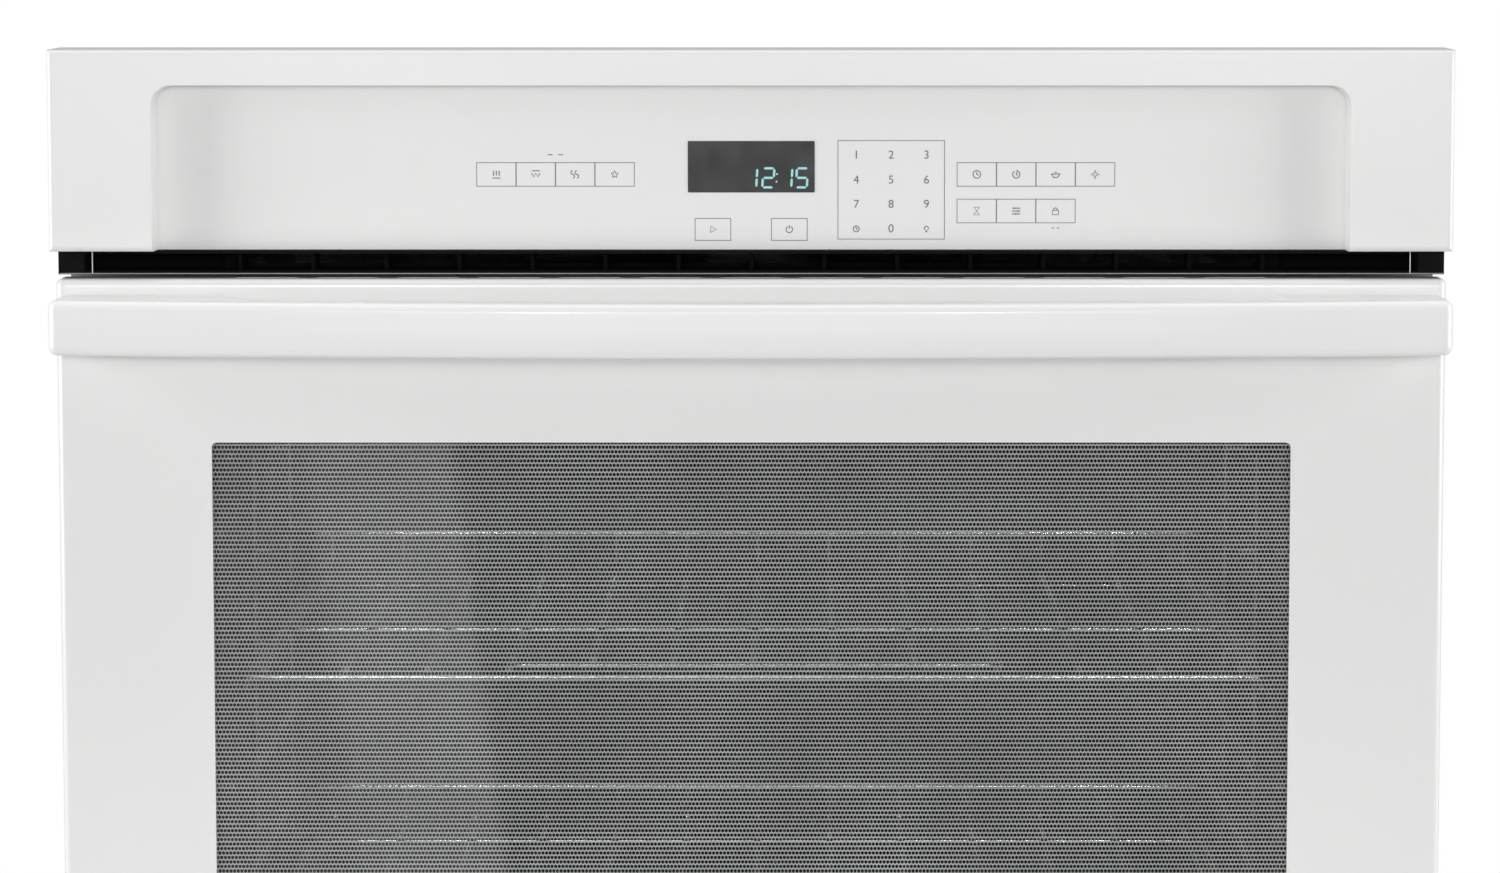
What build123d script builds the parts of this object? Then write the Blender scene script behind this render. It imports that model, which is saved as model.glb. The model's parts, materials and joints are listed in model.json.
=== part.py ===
from build123d import *
import os
from math import cos, radians, sin

# A built-in electric wall oven, 762 mm wide: a sheet-metal chassis round an enamelled cavity,
# a control panel over a vent slot, and a drop-down door with a bowed handle and a window.
# Frame: +Z up, the front faces -Y, +X is to the right of a person facing the oven.
# The origin is at the middle of the base, under the middle of the whole depth.

os.makedirs("parts", exist_ok=True)

# ---- driving dimensions, mm ----
WIDTH = 762.0                 # over the control panel
HEIGHT = 730.0                # base to the top of the control panel
DEPTH = 676.0                 # front of the handle to the back of the wiring box
SHEET = 1.5                   # chassis sheet steel
FRONT_Y = -DEPTH / 2
BACK_Y = DEPTH / 2

HANDLE_REACH = 62.0           # middle of the handle in front of the door's face
HANDLE_END_REACH = 35.0       # ends of the handle in front of the door's face
DOOR_FACE = FRONT_Y + HANDLE_REACH
DOOR_DEPTH = 45.0
DOOR_BACK = DOOR_FACE + DOOR_DEPTH
DOOR_WIDTH = 755.5
DOOR_BOTTOM = 28.0
DOOR_TOP = 605.6
SEAL_GAP = 5.0                # between the closed door and the front frame

FRAME_FACE = DOOR_BACK + SEAL_GAP
FRAME_THICK = 3.0
FRAME_BACK = FRAME_FACE + FRAME_THICK
FRAME_HALF = 377.0            # the frame's edge laps over the face of the cabinet
CHASSIS_HALF = 359.0
CHASSIS_TOP = 709.0
CHASSIS_BACK = 300.0
CHASSIS_FLANGE = 15.0
BASE_SIDE_HEIGHT = 18.0
BACK_SCREW_X = 350.0
BACK_SCREW_Z = (60.0, 260.0, 460.0, 660.0)
SCREW_HEAD_R = 4.0
SCREW_SHANK_R = 1.9
SCREW_HOLE_R = 2.0

CAVITY_HALF = 310.0
CAVITY_FLOOR = 80.0
CAVITY_CEILING = 520.0
CAVITY_BACK = 257.0
CAVITY_WALL = 2.5
CAVITY_RADIUS = 45.0
CAVITY_MID = (CAVITY_FLOOR + CAVITY_CEILING) / 2
CAVITY_HEIGHT = CAVITY_CEILING - CAVITY_FLOOR
LINER_LIP = 20.0
FIT_GAP = 0.3                 # clearance between pieces that are laid or pushed together

PANEL_FACE = DOOR_FACE - 2.0
PANEL_BACK = FRAME_FACE - 2.0
PANEL_BOTTOM = 620.6
PANEL_WALL = 3.0
PANEL_SCREW_X = 360.0
PANEL_SCREW_Z = (650.0, 700.0)
PANEL_OPENING = (640.0, 66.0)  # hole in the frame behind the control panel
PANEL_OPENING_Z = 671.0
RECESS_HALF = 324.0
RECESS_DEPTH = 19.0
RECESS_DRAFT = 2.5            # lean of the recess walls, degrees
RECESS_RADIUS = 10.0
RECESS_TOP = HEIGHT - 20.0
RECESS_FACE = PANEL_FACE + RECESS_DEPTH
DISPLAY_HALF = 34.6
DISPLAY_Z = (651.8, 679.9)

WINDOW_WIDTH = 588.0
WINDOW_HEIGHT = 345.0
WINDOW_MID = DOOR_TOP - 89.2 - WINDOW_HEIGHT / 2
WINDOW_RADIUS = 3.0
SKIN = 3.0                    # front sheet of the door
LINER_SPLIT = DOOR_FACE + 20.0  # where the door's front tray meets its liner
LINER_HALF = 370.0
SIGHT_MARGIN = 6.0            # glass frame opening beyond the window on each side
PANE = 4.0                    # thickness of each glass pane

HANDLE_Z = (567.0, 597.0)
HANDLE_HALF = 377.0
HANDLE_BAR = 18.0             # front to back thickness of the bar
HANDLE_FOOT = 80.0            # length of each foot along the door
HANDLE_BLEND = 34.0           # length of the curve from foot to bar
HANDLE_ROUND = 5.0

HINGE_Y = -246.0
HINGE_Z = 40.0
HINGE_X = 349.0
HINGE_PIN_R = 4.0
HOOK_PIN_Y = -170.0           # cross pin that each hinge arm hooks on
HOOK_PIN_R = 3.0
RUNNING_GAP = 0.05            # radial clearance of each running fit
ARM_THICK = 5.0
SPRING_Y = -248.0
SPRING_WIRE_R = 1.4
SPRING_R = 3.1                # to the middle of the wire
SPRING_PITCH = 7.0

RACK_HALF = 297.4
RACK_FRONT = -154.0
RACK_REAR = 245.0
RACK_WIRE_R = 2.0
RACK_RAIL_R = 3.1
SIDE_RAIL_R = 2.9
BACK_RAIL_R = 2.5
RACK_WIRES = 13
RACK_WIRE_PITCH = 46.7
RACK_LOW_Z = 202.0            # wire centres of the lower rack
RACK_STEP = 56.33             # spacing of the rack guides' rungs
RACK_HIGH_Z = RACK_LOW_Z + 3 * RACK_STEP
RACK_SIDE_X = 291.0
RAIL_DROP = 4.0               # rails lie this far under the wires
BACKSTOP = 26.0
RACK_BEND = 7.0               # bend radius where a wire turns up into the backstop
SHORT_WIRES = 2               # on each side of the middle, wires that stop at the second rail
SECOND_RAIL = 40.0            # second front rail behind the first
CROSS_WIRE_Y = (23.0, 210.0)
GUIDE_R = 2.5
GUIDE_POST_X = 304.5
GUIDE_LEVELS = 6
GUIDE_BEND = 12.0             # each rung joins its end posts over this length

BAY_FLOOR = 562.0             # sheet over the insulation, floor of the control bay
BLOWER_X = 0.0
BLOWER_Y = 130.0
BLOWER_R = 62.0
BLOWER_Z = (580.0, 622.0)
DUCT_Z = (596.0, 621.0)
VENT_Z = (607.4, 620.3)
VENT_FACE = PANEL_FACE + 13.0
AIR_SLOT = (580.0, 9.0)       # outlet through the front frame
AIR_SLOT_Z = 614.5

LATCH_PIVOT = (-20.0, -190.0)
LATCH_Z = (566.5, 569.5)
LATCH_SLOT = (21.0, 9.0)      # slot in the front frame that the hook comes through
LATCH_SLOT_AT = (0.5, 568.0)
LATCH_PIN_R = 3.0
SWITCH_X = -250.0
SWITCH_Z = 574.0
LAMP_X = -215.0
LAMP_Z = 489.0
PROBE_X = 265.0
PROBE_Z = 500.0
BAKE_Z = 95.0
BROIL_Z = 497.0
ELEMENT_R = 3.5
ELEMENT_LEG_X = 18.0
ELEMENT_END = 290.0

CABINET_SCREW_X = 368.0
CABINET_SCREW_Z = (180.0, 540.0)
CABINET_SCREW_R = 2.75
BOX_X = (200.0, 300.0)
BOX_Z = (560.0, 650.0)
KNOCKOUT_R = 11.0
WIRE_HOLE_R = 12.0            # from the junction box into the chassis
WIRE_HOLE_Z = 610.0


# ---- helpers ----
def facing(y):
    """Sketch plane across the oven at depth y; extruding from it goes towards the front."""
    return Plane.XZ.offset(-y)


def span(a, b):
    return (min(a, b), max(a, b))


def block(x, y, z, mode=Mode.ADD):
    """A box between the low and high values given for each axis."""
    middle = ((x[0] + x[1]) / 2, (y[0] + y[1]) / 2, (z[0] + z[1]) / 2)
    with Locations(middle):
        Box(x[1] - x[0], y[1] - y[0], z[1] - z[0], mode=mode)


def rod(radius, start, end, mode=Mode.ADD):
    """A round rod along one axis, from start to end."""
    line = Vector(*end) - Vector(*start)
    with BuildSketch(Plane(origin=start, z_dir=line)) as disc:
        Circle(radius)
    extrude(disc.sketch, amount=line.length, mode=mode)


def save(builder, name):
    builder.part.label = name
    export_step(builder.part, f"parts/{name}.step")


# ---- chassis ----
inner_half = CHASSIS_HALF - SHEET

with BuildPart() as chassis_base:
    block((-inner_half, inner_half), (FRAME_BACK, CHASSIS_BACK - SHEET), (0, SHEET))
    for sign in (-1, 1):
        block(span(sign * (inner_half - SHEET), sign * inner_half),
              (FRAME_BACK, CHASSIS_BACK - SHEET), (SHEET, BASE_SIDE_HEIGHT))
    with BuildSketch(Plane.XY):
        with GridLocations(60, 90, 9, 4):
            SlotOverall(36, 5)
    extrude(amount=SHEET, mode=Mode.SUBTRACT)
save(chassis_base, "chassis_base")

for side_name, sign in (("left", -1), ("right", 1)):
    with BuildPart() as chassis_side:
        block(span(sign * inner_half, sign * CHASSIS_HALF),
              (FRAME_BACK, CHASSIS_BACK), (0, CHASSIS_TOP))
        block(span(sign * (inner_half - CHASSIS_FLANGE), sign * inner_half),
              (CHASSIS_BACK - SHEET, CHASSIS_BACK), (0, CHASSIS_TOP))
        block(span(sign * (inner_half - CHASSIS_FLANGE), sign * inner_half),
              (FRAME_BACK, CHASSIS_BACK), (CHASSIS_TOP - SHEET, CHASSIS_TOP))
        with BuildSketch(Plane.YZ.offset(-CHASSIS_HALF)):
            with Locations((60, 665), (60, 50)):
                with GridLocations(36, 14, 8, 3):
                    SlotOverall(26, 4)
        extrude(amount=2 * CHASSIS_HALF, mode=Mode.SUBTRACT)
    save(chassis_side, f"chassis_side_{side_name}")

with BuildPart() as chassis_top:
    block((-CHASSIS_HALF, CHASSIS_HALF), (FRAME_BACK, CHASSIS_BACK),
          (CHASSIS_TOP, CHASSIS_TOP + SHEET))
    with BuildSketch(Plane.XY.offset(CHASSIS_TOP)):
        with Locations((0, 200)):
            with GridLocations(44, 16, 12, 4):
                SlotOverall(34, 5)
    extrude(amount=SHEET, mode=Mode.SUBTRACT)
save(chassis_top, "chassis_top")

back_screws = [(x, z) for x in (-BACK_SCREW_X, BACK_SCREW_X) for z in BACK_SCREW_Z]
lamp_socket_hole_r = 20.0
head_height = 2.4
back_plate_y = CHASSIS_BACK + SHEET
with BuildPart() as chassis_back:
    block((-CHASSIS_HALF, CHASSIS_HALF), (CHASSIS_BACK, back_plate_y),
          (0, CHASSIS_TOP + SHEET))
    with BuildSketch(facing(back_plate_y)):
        with Locations((-230, 665), (0, 665)):
            with GridLocations(34, 14, 5, 3):
                SlotOverall(26, 5)
        with Locations((0, 100), (0, 500)):
            RectangleRounded(120, 50, 6)
        with Locations((LAMP_X, LAMP_Z)):
            Circle(lamp_socket_hole_r)
        with Locations((sum(BOX_X) / 2, WIRE_HOLE_Z)):
            Circle(WIRE_HOLE_R)
        with Locations(*back_screws):
            Circle(SCREW_HOLE_R)
    extrude(amount=SHEET, mode=Mode.SUBTRACT)
save(chassis_back, "chassis_back")

with BuildPart() as chassis_screws:
    for x, z in back_screws:
        rod(SCREW_HEAD_R, (x, back_plate_y, z), (x, back_plate_y + head_height, z))
        rod(SCREW_SHANK_R, (x, back_plate_y, z), (x, CHASSIS_BACK + 0.1, z))
save(chassis_screws, "chassis_screws")

# ---- front frame: the flange that the cabinet screws go through ----
frame_screw_clearance_r = 6.0
arm_slot = (8.0, 20.0)
with BuildPart() as front_frame:
    with BuildSketch(facing(FRAME_BACK)):
        with Locations((0, CHASSIS_TOP / 2)):
            RectangleRounded(2 * FRAME_HALF, CHASSIS_TOP, 4)
        with Locations((0, CAVITY_MID)):
            RectangleRounded(2 * (CAVITY_HALF + CAVITY_WALL), CAVITY_HEIGHT + 2 * CAVITY_WALL,
                             CAVITY_RADIUS + CAVITY_WALL, mode=Mode.SUBTRACT)
        with Locations((0, PANEL_OPENING_Z)):
            RectangleRounded(*PANEL_OPENING, 8, mode=Mode.SUBTRACT)
        with Locations((0, AIR_SLOT_Z)):
            Rectangle(*AIR_SLOT, mode=Mode.SUBTRACT)
        with Locations(LATCH_SLOT_AT):
            Rectangle(*LATCH_SLOT, mode=Mode.SUBTRACT)
        with Locations((SWITCH_X, SWITCH_Z)):
            Circle(3.9, mode=Mode.SUBTRACT)
        with Locations((-HINGE_X, HINGE_Z), (HINGE_X, HINGE_Z)):
            Rectangle(*arm_slot, mode=Mode.SUBTRACT)
        with Locations(*[(x, z) for x in (-CABINET_SCREW_X, CABINET_SCREW_X)
                         for z in CABINET_SCREW_Z]):
            Circle(CABINET_SCREW_R, mode=Mode.SUBTRACT)
        with Locations(*[(x, z) for x in (-PANEL_SCREW_X, PANEL_SCREW_X)
                         for z in PANEL_SCREW_Z]):
            Circle(frame_screw_clearance_r, mode=Mode.SUBTRACT)
    extrude(amount=FRAME_THICK)
save(front_frame, "front_frame")

# ---- oven cavity ----
lamp_hole_r = 22.0
probe_r = 2.5
liner_back = CAVITY_BACK + CAVITY_WALL
with BuildPart() as cavity_liner:
    with BuildSketch(facing(liner_back)):
        with Locations((0, CAVITY_MID)):
            RectangleRounded(2 * (CAVITY_HALF + CAVITY_WALL), CAVITY_HEIGHT + 2 * CAVITY_WALL,
                             CAVITY_RADIUS + CAVITY_WALL)
    extrude(amount=liner_back - FRAME_FACE)
    with BuildSketch(facing(FRAME_BACK + CAVITY_WALL)):
        with Locations((0, CAVITY_MID)):
            RectangleRounded(2 * (CAVITY_HALF + LINER_LIP), CAVITY_HEIGHT + 2 * LINER_LIP,
                             CAVITY_RADIUS + LINER_LIP)
    extrude(amount=CAVITY_WALL)
    with BuildSketch(facing(CAVITY_BACK)):
        with Locations((0, CAVITY_MID)):
            RectangleRounded(2 * CAVITY_HALF, CAVITY_HEIGHT, CAVITY_RADIUS)
    extrude(amount=CAVITY_BACK - FRAME_FACE, mode=Mode.SUBTRACT)
    with BuildSketch(facing(liner_back)):
        with Locations((LAMP_X, LAMP_Z)):
            Circle(lamp_hole_r)
        with Locations(*[(sign * ELEMENT_LEG_X, z) for sign in (-1, 1)
                         for z in (BAKE_Z, BROIL_Z)]):
            Circle(ELEMENT_R + FIT_GAP)
        with Locations((PROBE_X, PROBE_Z)):
            Circle(probe_r + FIT_GAP)
    extrude(amount=CAVITY_WALL, mode=Mode.SUBTRACT)
save(cavity_liner, "cavity_liner")

blanket_half = 340.5
blanket_bottom = 50.0
with BuildPart() as insulation_blanket:
    block((-blanket_half, blanket_half), (FRAME_BACK + CAVITY_WALL + 0.5, CHASSIS_BACK - 3),
          (blanket_bottom, BAY_FLOOR - 0.5))
    with BuildSketch(facing(liner_back + FIT_GAP)):
        with Locations((0, CAVITY_MID)):
            RectangleRounded(2 * (CAVITY_HALF + CAVITY_WALL + FIT_GAP),
                             CAVITY_HEIGHT + 2 * (CAVITY_WALL + FIT_GAP),
                             CAVITY_RADIUS + CAVITY_WALL + FIT_GAP)
    extrude(amount=liner_back - FRAME_FACE + 5, mode=Mode.SUBTRACT)
    with BuildSketch(facing(CHASSIS_BACK)):
        with Locations((LAMP_X, LAMP_Z)):
            Circle(lamp_hole_r + 8)
        with Locations((0, BAKE_Z), (0, BROIL_Z)):
            SlotOverall(60, 20)
        with Locations((PROBE_X, PROBE_Z)):
            Circle(10)
    extrude(amount=CHASSIS_BACK - liner_back, mode=Mode.SUBTRACT)
save(insulation_blanket, "insulation_blanket")

with BuildPart() as insulation_cover:
    block((-inner_half + 1, inner_half - 1), (FRAME_BACK, CHASSIS_BACK - 2),
          (BAY_FLOOR, BAY_FLOOR + SHEET))
    with BuildSketch(Plane.XY.offset(BAY_FLOOR)):
        with Locations((-260, 60), (260, 220)):
            with GridLocations(40, 16, 2, 4):
                SlotOverall(30, 5)
    extrude(amount=SHEET, mode=Mode.SUBTRACT)
save(insulation_cover, "insulation_cover")

seal_inset = 6.0
seal_width = 12.0
with BuildPart() as door_gasket:
    with BuildSketch(facing(FRAME_FACE)):
        with Locations((0, CAVITY_MID)):
            RectangleRounded(2 * (CAVITY_HALF + seal_inset + seal_width),
                             CAVITY_HEIGHT + 2 * (seal_inset + seal_width),
                             CAVITY_RADIUS + seal_inset + seal_width)
            RectangleRounded(2 * (CAVITY_HALF + seal_inset), CAVITY_HEIGHT + 2 * seal_inset,
                             CAVITY_RADIUS + seal_inset, mode=Mode.SUBTRACT)
    extrude(amount=SEAL_GAP - FIT_GAP)
    fillet(door_gasket.edges().group_by(Axis.Y)[0], 2)
save(door_gasket, "door_gasket")


# ---- racks and their guides ----
def make_rack(wire_z, name):
    """A welded wire rack with a raised backstop; the wires lie on the rails."""
    rail_z = wire_z - RAIL_DROP
    second_rail_y = RACK_FRONT + SECOND_RAIL
    under_z = rail_z + RACK_RAIL_R - RACK_WIRE_R - 0.6
    with BuildPart() as rack:
        for i in range(RACK_WIRES):
            place = i - (RACK_WIRES - 1) / 2
            x = place * RACK_WIRE_PITCH
            start = second_rail_y - 3 if abs(place) <= SHORT_WIRES else RACK_FRONT
            with BuildLine() as run:
                FilletPolyline((x, start, wire_z), (x, RACK_REAR, wire_z),
                               (x, RACK_REAR, wire_z + BACKSTOP), radius=RACK_BEND)
            with BuildSketch(Plane(origin=run.line @ 0, z_dir=run.line % 0)):
                Circle(RACK_WIRE_R)
            sweep(path=run.line)
        second_half = (SHORT_WIRES + 1) * RACK_WIRE_PITCH + 4
        rod(RACK_RAIL_R, (-RACK_HALF, RACK_FRONT, rail_z), (RACK_HALF, RACK_FRONT, rail_z))
        rod(RACK_WIRE_R, (-second_half, second_rail_y, under_z),
            (second_half, second_rail_y, under_z))
        for y in CROSS_WIRE_Y:
            rod(RACK_WIRE_R, (-RACK_SIDE_X, y, under_z), (RACK_SIDE_X, y, under_z))
        rod(BACK_RAIL_R, (-RACK_SIDE_X, RACK_REAR, wire_z + BACKSTOP),
            (RACK_SIDE_X, RACK_REAR, wire_z + BACKSTOP))
        for sign in (-1, 1):
            rod(SIDE_RAIL_R, (sign * RACK_SIDE_X, RACK_FRONT, rail_z),
                (sign * RACK_SIDE_X, RACK_REAR - 20, rail_z))
    save(rack, name)


make_rack(RACK_HIGH_Z, "rack_upper")
make_rack(RACK_LOW_Z, "rack_lower")

rung_gap = SIDE_RAIL_R + GUIDE_R + FIT_GAP
rung_low_z = RACK_LOW_Z - RAIL_DROP - rung_gap - RACK_STEP
guide_y = (-190.0, 210.0)
guide_middle_y = sum(guide_y) / 2
guide_top_z = rung_low_z + (GUIDE_LEVELS - 1) * RACK_STEP + 60
stud_r = 4.0
with BuildPart() as rack_guide_right:
    for y in (guide_y[0], guide_middle_y, guide_y[1]):
        rod(GUIDE_R, (GUIDE_POST_X, y, rung_low_z - 8), (GUIDE_POST_X, y, guide_top_z))
    for level in range(GUIDE_LEVELS):
        z = rung_low_z + level * RACK_STEP
        with BuildLine() as rung:
            FilletPolyline((GUIDE_POST_X, guide_y[0], z),
                           (RACK_SIDE_X, guide_y[0] + GUIDE_BEND, z),
                           (RACK_SIDE_X, guide_y[1] - GUIDE_BEND, z),
                           (GUIDE_POST_X, guide_y[1], z), radius=8)
        with BuildSketch(Plane(origin=rung.line @ 0, z_dir=rung.line % 0)):
            Circle(GUIDE_R - 0.1)
        sweep(path=rung.line)
        rod(GUIDE_R - 0.5, (RACK_SIDE_X, guide_middle_y, z), (GUIDE_POST_X, guide_middle_y, z))
    for y in guide_y:
        for z in (rung_low_z + 20, guide_top_z - 20):
            rod(stud_r, (GUIDE_POST_X, y, z), (CAVITY_HALF, y, z))
save(rack_guide_right, "rack_guide_right")

with BuildPart() as rack_guide_left:
    mirror(rack_guide_right.part, about=Plane.YZ)
save(rack_guide_left, "rack_guide_left")


# ---- heating elements, probe and lamp ----
terminal_r = 2.0


def make_element(z, half, front, back, name):
    """A sheathed heating element: one tube bent to and fro in a level plane."""
    outer_loop = half * 0.62
    inner_loop = half * 0.26
    loop_back = back - 80
    half_path = [(ELEMENT_LEG_X, ELEMENT_END), (ELEMENT_LEG_X, back), (half, back), (half, front),
                 (outer_loop, front), (outer_loop, loop_back), (inner_loop, loop_back),
                 (inner_loop, front)]
    points = half_path + [(-x, y) for x, y in reversed(half_path)]
    with BuildPart() as element:
        with BuildLine() as route:
            FilletPolyline(*[(x, y, z) for x, y in points], radius=22)
        with BuildSketch(Plane(origin=route.line @ 0, z_dir=route.line % 0)):
            Circle(ELEMENT_R)
        sweep(path=route.line)
        for sign in (-1, 1):
            rod(terminal_r, (sign * ELEMENT_LEG_X, ELEMENT_END, z),
                (sign * ELEMENT_LEG_X, ELEMENT_END + 6, z))
    save(element, name)


bake_half = 250.0
broil_half = 235.0
make_element(BAKE_Z, bake_half, -170.0, 200.0, "bake_element")
make_element(BROIL_Z, broil_half, -60.0, 190.0, "broil_element")

bracket_width = 14.0
with BuildPart() as element_brackets:
    hangers = [(broil_half, BROIL_Z, BROIL_Z - bracket_width / 2, CAVITY_CEILING, 80.0),
               (bake_half, BAKE_Z, CAVITY_FLOOR, BAKE_Z + bracket_width / 2, -60.0),
               (bake_half, BAKE_Z, CAVITY_FLOOR, BAKE_Z + bracket_width / 2, 120.0)]
    for x, tube_z, low_z, high_z, y in hangers:
        with BuildSketch(facing(y)):
            with Locations((-x, (low_z + high_z) / 2), (x, (low_z + high_z) / 2)):
                Rectangle(bracket_width, high_z - low_z)
            with Locations((-x, tube_z), (x, tube_z)):
                Circle(ELEMENT_R + 0.2, mode=Mode.SUBTRACT)
        extrude(amount=SHEET)
save(element_brackets, "element_brackets")

probe_y = (195.0, 285.0)
probe_flange_r = 8.0
with BuildPart() as temperature_probe:
    rod(probe_r, (PROBE_X, probe_y[0], PROBE_Z), (PROBE_X, probe_y[1], PROBE_Z))
    fillet(temperature_probe.edges().group_by(Axis.Y)[0], 2)
    rod(probe_flange_r, (PROBE_X, CAVITY_BACK - 1.2, PROBE_Z), (PROBE_X, CAVITY_BACK, PROBE_Z))
save(temperature_probe, "temperature_probe")

lens_seat_y = CAVITY_BACK - 2
cup_y = (CAVITY_BACK - 0.5, 292.0)
socket_y = (276.0, cup_y[1] - 4)
lamp_flange_r = 29.0
with BuildPart() as lamp_housing:
    rod(lamp_hole_r, (LAMP_X, cup_y[0], LAMP_Z), (LAMP_X, cup_y[1], LAMP_Z))
    rod(lamp_hole_r - SHEET, (LAMP_X, cup_y[0], LAMP_Z), (LAMP_X, socket_y[1], LAMP_Z),
        mode=Mode.SUBTRACT)
    rod(lamp_flange_r, (LAMP_X, lens_seat_y, LAMP_Z), (LAMP_X, CAVITY_BACK, LAMP_Z))
    rod(lamp_hole_r - SHEET, (LAMP_X, lens_seat_y, LAMP_Z), (LAMP_X, CAVITY_BACK, LAMP_Z),
        mode=Mode.SUBTRACT)
    rod(9, (LAMP_X, socket_y[0], LAMP_Z), (LAMP_X, socket_y[1], LAMP_Z))
save(lamp_housing, "lamp_housing")

with BuildPart() as lamp_bulb:
    rod(4.5, (LAMP_X, socket_y[0] - 12, LAMP_Z), (LAMP_X, socket_y[0], LAMP_Z))
    with Locations((LAMP_X, socket_y[0] - 14, LAMP_Z)):
        Sphere(8)
save(lamp_bulb, "lamp_bulb")

lens_depth = 7.0
lens_wall = 3.0
lens_taper = 25.0
with BuildPart() as lamp_lens:
    with BuildSketch(facing(lens_seat_y)):
        with Locations((LAMP_X, LAMP_Z)):
            Circle(lamp_flange_r - 2)
    extrude(amount=lens_depth, taper=lens_taper)
    with BuildSketch(facing(lens_seat_y)):
        with Locations((LAMP_X, LAMP_Z)):
            Circle(lamp_flange_r - 3 - lens_wall)
    extrude(amount=lens_depth - lens_wall, taper=lens_taper, mode=Mode.SUBTRACT)
save(lamp_lens, "lamp_lens")

# ---- wiring at the back ----
rear_depth = 18.0
rear_half = 120.0
rear_z = (70.0, 535.0)
with BuildPart() as rear_wiring_cover:
    block((-rear_half, rear_half), (back_plate_y, back_plate_y + rear_depth), rear_z)
    fillet(rear_wiring_cover.edges().filter_by(Axis.Y), 10)
    fillet(rear_wiring_cover.faces().sort_by(Axis.Y)[-1].edges(), 3)
    offset(amount=-SHEET, openings=rear_wiring_cover.faces().sort_by(Axis.Y)[0])
    with BuildSketch(facing(back_plate_y + rear_depth)):
        with Locations((0, sum(rear_z) / 2)):
            with GridLocations(60, 14, 3, 12):
                SlotOverall(46, 5)
    extrude(amount=SHEET, mode=Mode.SUBTRACT)
save(rear_wiring_cover, "rear_wiring_cover")

box_lid_y = BACK_Y - SHEET
box_mid_x = sum(BOX_X) / 2
knockout_y = 319.0
with BuildPart() as junction_box:
    block(BOX_X, (back_plate_y, box_lid_y), BOX_Z)
    block((BOX_X[0] + SHEET, BOX_X[1] - SHEET), (back_plate_y + SHEET, box_lid_y),
          (BOX_Z[0] + SHEET, BOX_Z[1] - SHEET), mode=Mode.SUBTRACT)
    rod(KNOCKOUT_R, (box_mid_x, knockout_y, BOX_Z[0]),
        (box_mid_x, knockout_y, BOX_Z[0] + SHEET), mode=Mode.SUBTRACT)
    rod(WIRE_HOLE_R, (box_mid_x, back_plate_y, WIRE_HOLE_Z),
        (box_mid_x, back_plate_y + SHEET, WIRE_HOLE_Z), mode=Mode.SUBTRACT)
save(junction_box, "junction_box")

lid_screws = [(x, sum(BOX_Z) / 2) for x in (BOX_X[0] + 12, BOX_X[1] - 12)]
with BuildPart() as junction_box_cover:
    block(BOX_X, (box_lid_y, BACK_Y), BOX_Z)
    with BuildSketch(facing(BACK_Y)):
        with Locations(*lid_screws):
            Circle(2.2)
    extrude(amount=SHEET, mode=Mode.SUBTRACT)
    fillet(junction_box_cover.edges().filter_by(Axis.Y), 1)
save(junction_box_cover, "junction_box_cover")

terminal_front_y = 318.0
terminal_z = 636.0
terminal_places = [box_mid_x - 19, box_mid_x, box_mid_x + 19]
with BuildPart() as terminal_block:
    block((box_mid_x - 28, box_mid_x + 28), (back_plate_y + SHEET, terminal_front_y),
          (terminal_z - 8, terminal_z + 8))
    for x in terminal_places:
        rod(4, (x, terminal_front_y, terminal_z), (x, terminal_front_y - 3, terminal_z),
            mode=Mode.SUBTRACT)
        rod(3, (x, terminal_front_y - 3, terminal_z), (x, terminal_front_y - 2, terminal_z))
save(terminal_block, "terminal_block")

# ---- control panel ----
panel_half = WIDTH / 2
pocket_front = RECESS_FACE + PANEL_WALL
recess_run_out = 40.0         # the recess runs out through the panel's bottom edge
boss_depth = 16.0
with BuildPart() as control_fascia:
    block((-panel_half, panel_half), (PANEL_FACE, PANEL_BACK), (PANEL_BOTTOM, HEIGHT))
    outer_front = control_fascia.faces().sort_by(Axis.Y)[0].edges()
    fillet(outer_front, 3)
    with BuildSketch(facing(RECESS_FACE)):
        with Locations((0, (PANEL_BOTTOM - recess_run_out + RECESS_TOP) / 2)):
            RectangleRounded(2 * RECESS_HALF, RECESS_TOP - PANEL_BOTTOM + recess_run_out,
                             RECESS_RADIUS)
    extrude(amount=RECESS_DEPTH, taper=-RECESS_DRAFT, mode=Mode.SUBTRACT)
    block((-panel_half + PANEL_WALL, panel_half - PANEL_WALL), (pocket_front, PANEL_BACK),
          (PANEL_BOTTOM + PANEL_WALL, HEIGHT - PANEL_WALL), mode=Mode.SUBTRACT)
    side_pocket = (RECESS_HALF + 3 * PANEL_WALL, panel_half - PANEL_WALL)
    for sign in (-1, 1):
        block(span(sign * side_pocket[0], sign * side_pocket[1]),
              (PANEL_FACE + PANEL_WALL, pocket_front),
              (PANEL_BOTTOM + PANEL_WALL, HEIGHT - PANEL_WALL), mode=Mode.SUBTRACT)
        for z in PANEL_SCREW_Z:
            boss_x = sign * PANEL_SCREW_X
            rod(5, (boss_x, PANEL_FACE + 1, z), (boss_x, PANEL_BACK, z))
            rod(SCREW_HOLE_R, (boss_x, PANEL_BACK - boss_depth, z), (boss_x, PANEL_BACK, z),
                mode=Mode.SUBTRACT)
    block((-DISPLAY_HALF, DISPLAY_HALF), (RECESS_FACE - 1, pocket_front), DISPLAY_Z,
          mode=Mode.SUBTRACT)
save(control_fascia, "control_fascia")

with BuildPart() as display_window:
    block((-DISPLAY_HALF, DISPLAY_HALF), (RECESS_FACE - 0.3, pocket_front - 0.3), DISPLAY_Z)
    fillet(display_window.edges().filter_by(Axis.Y), 1)
save(display_window, "display_window")

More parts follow.
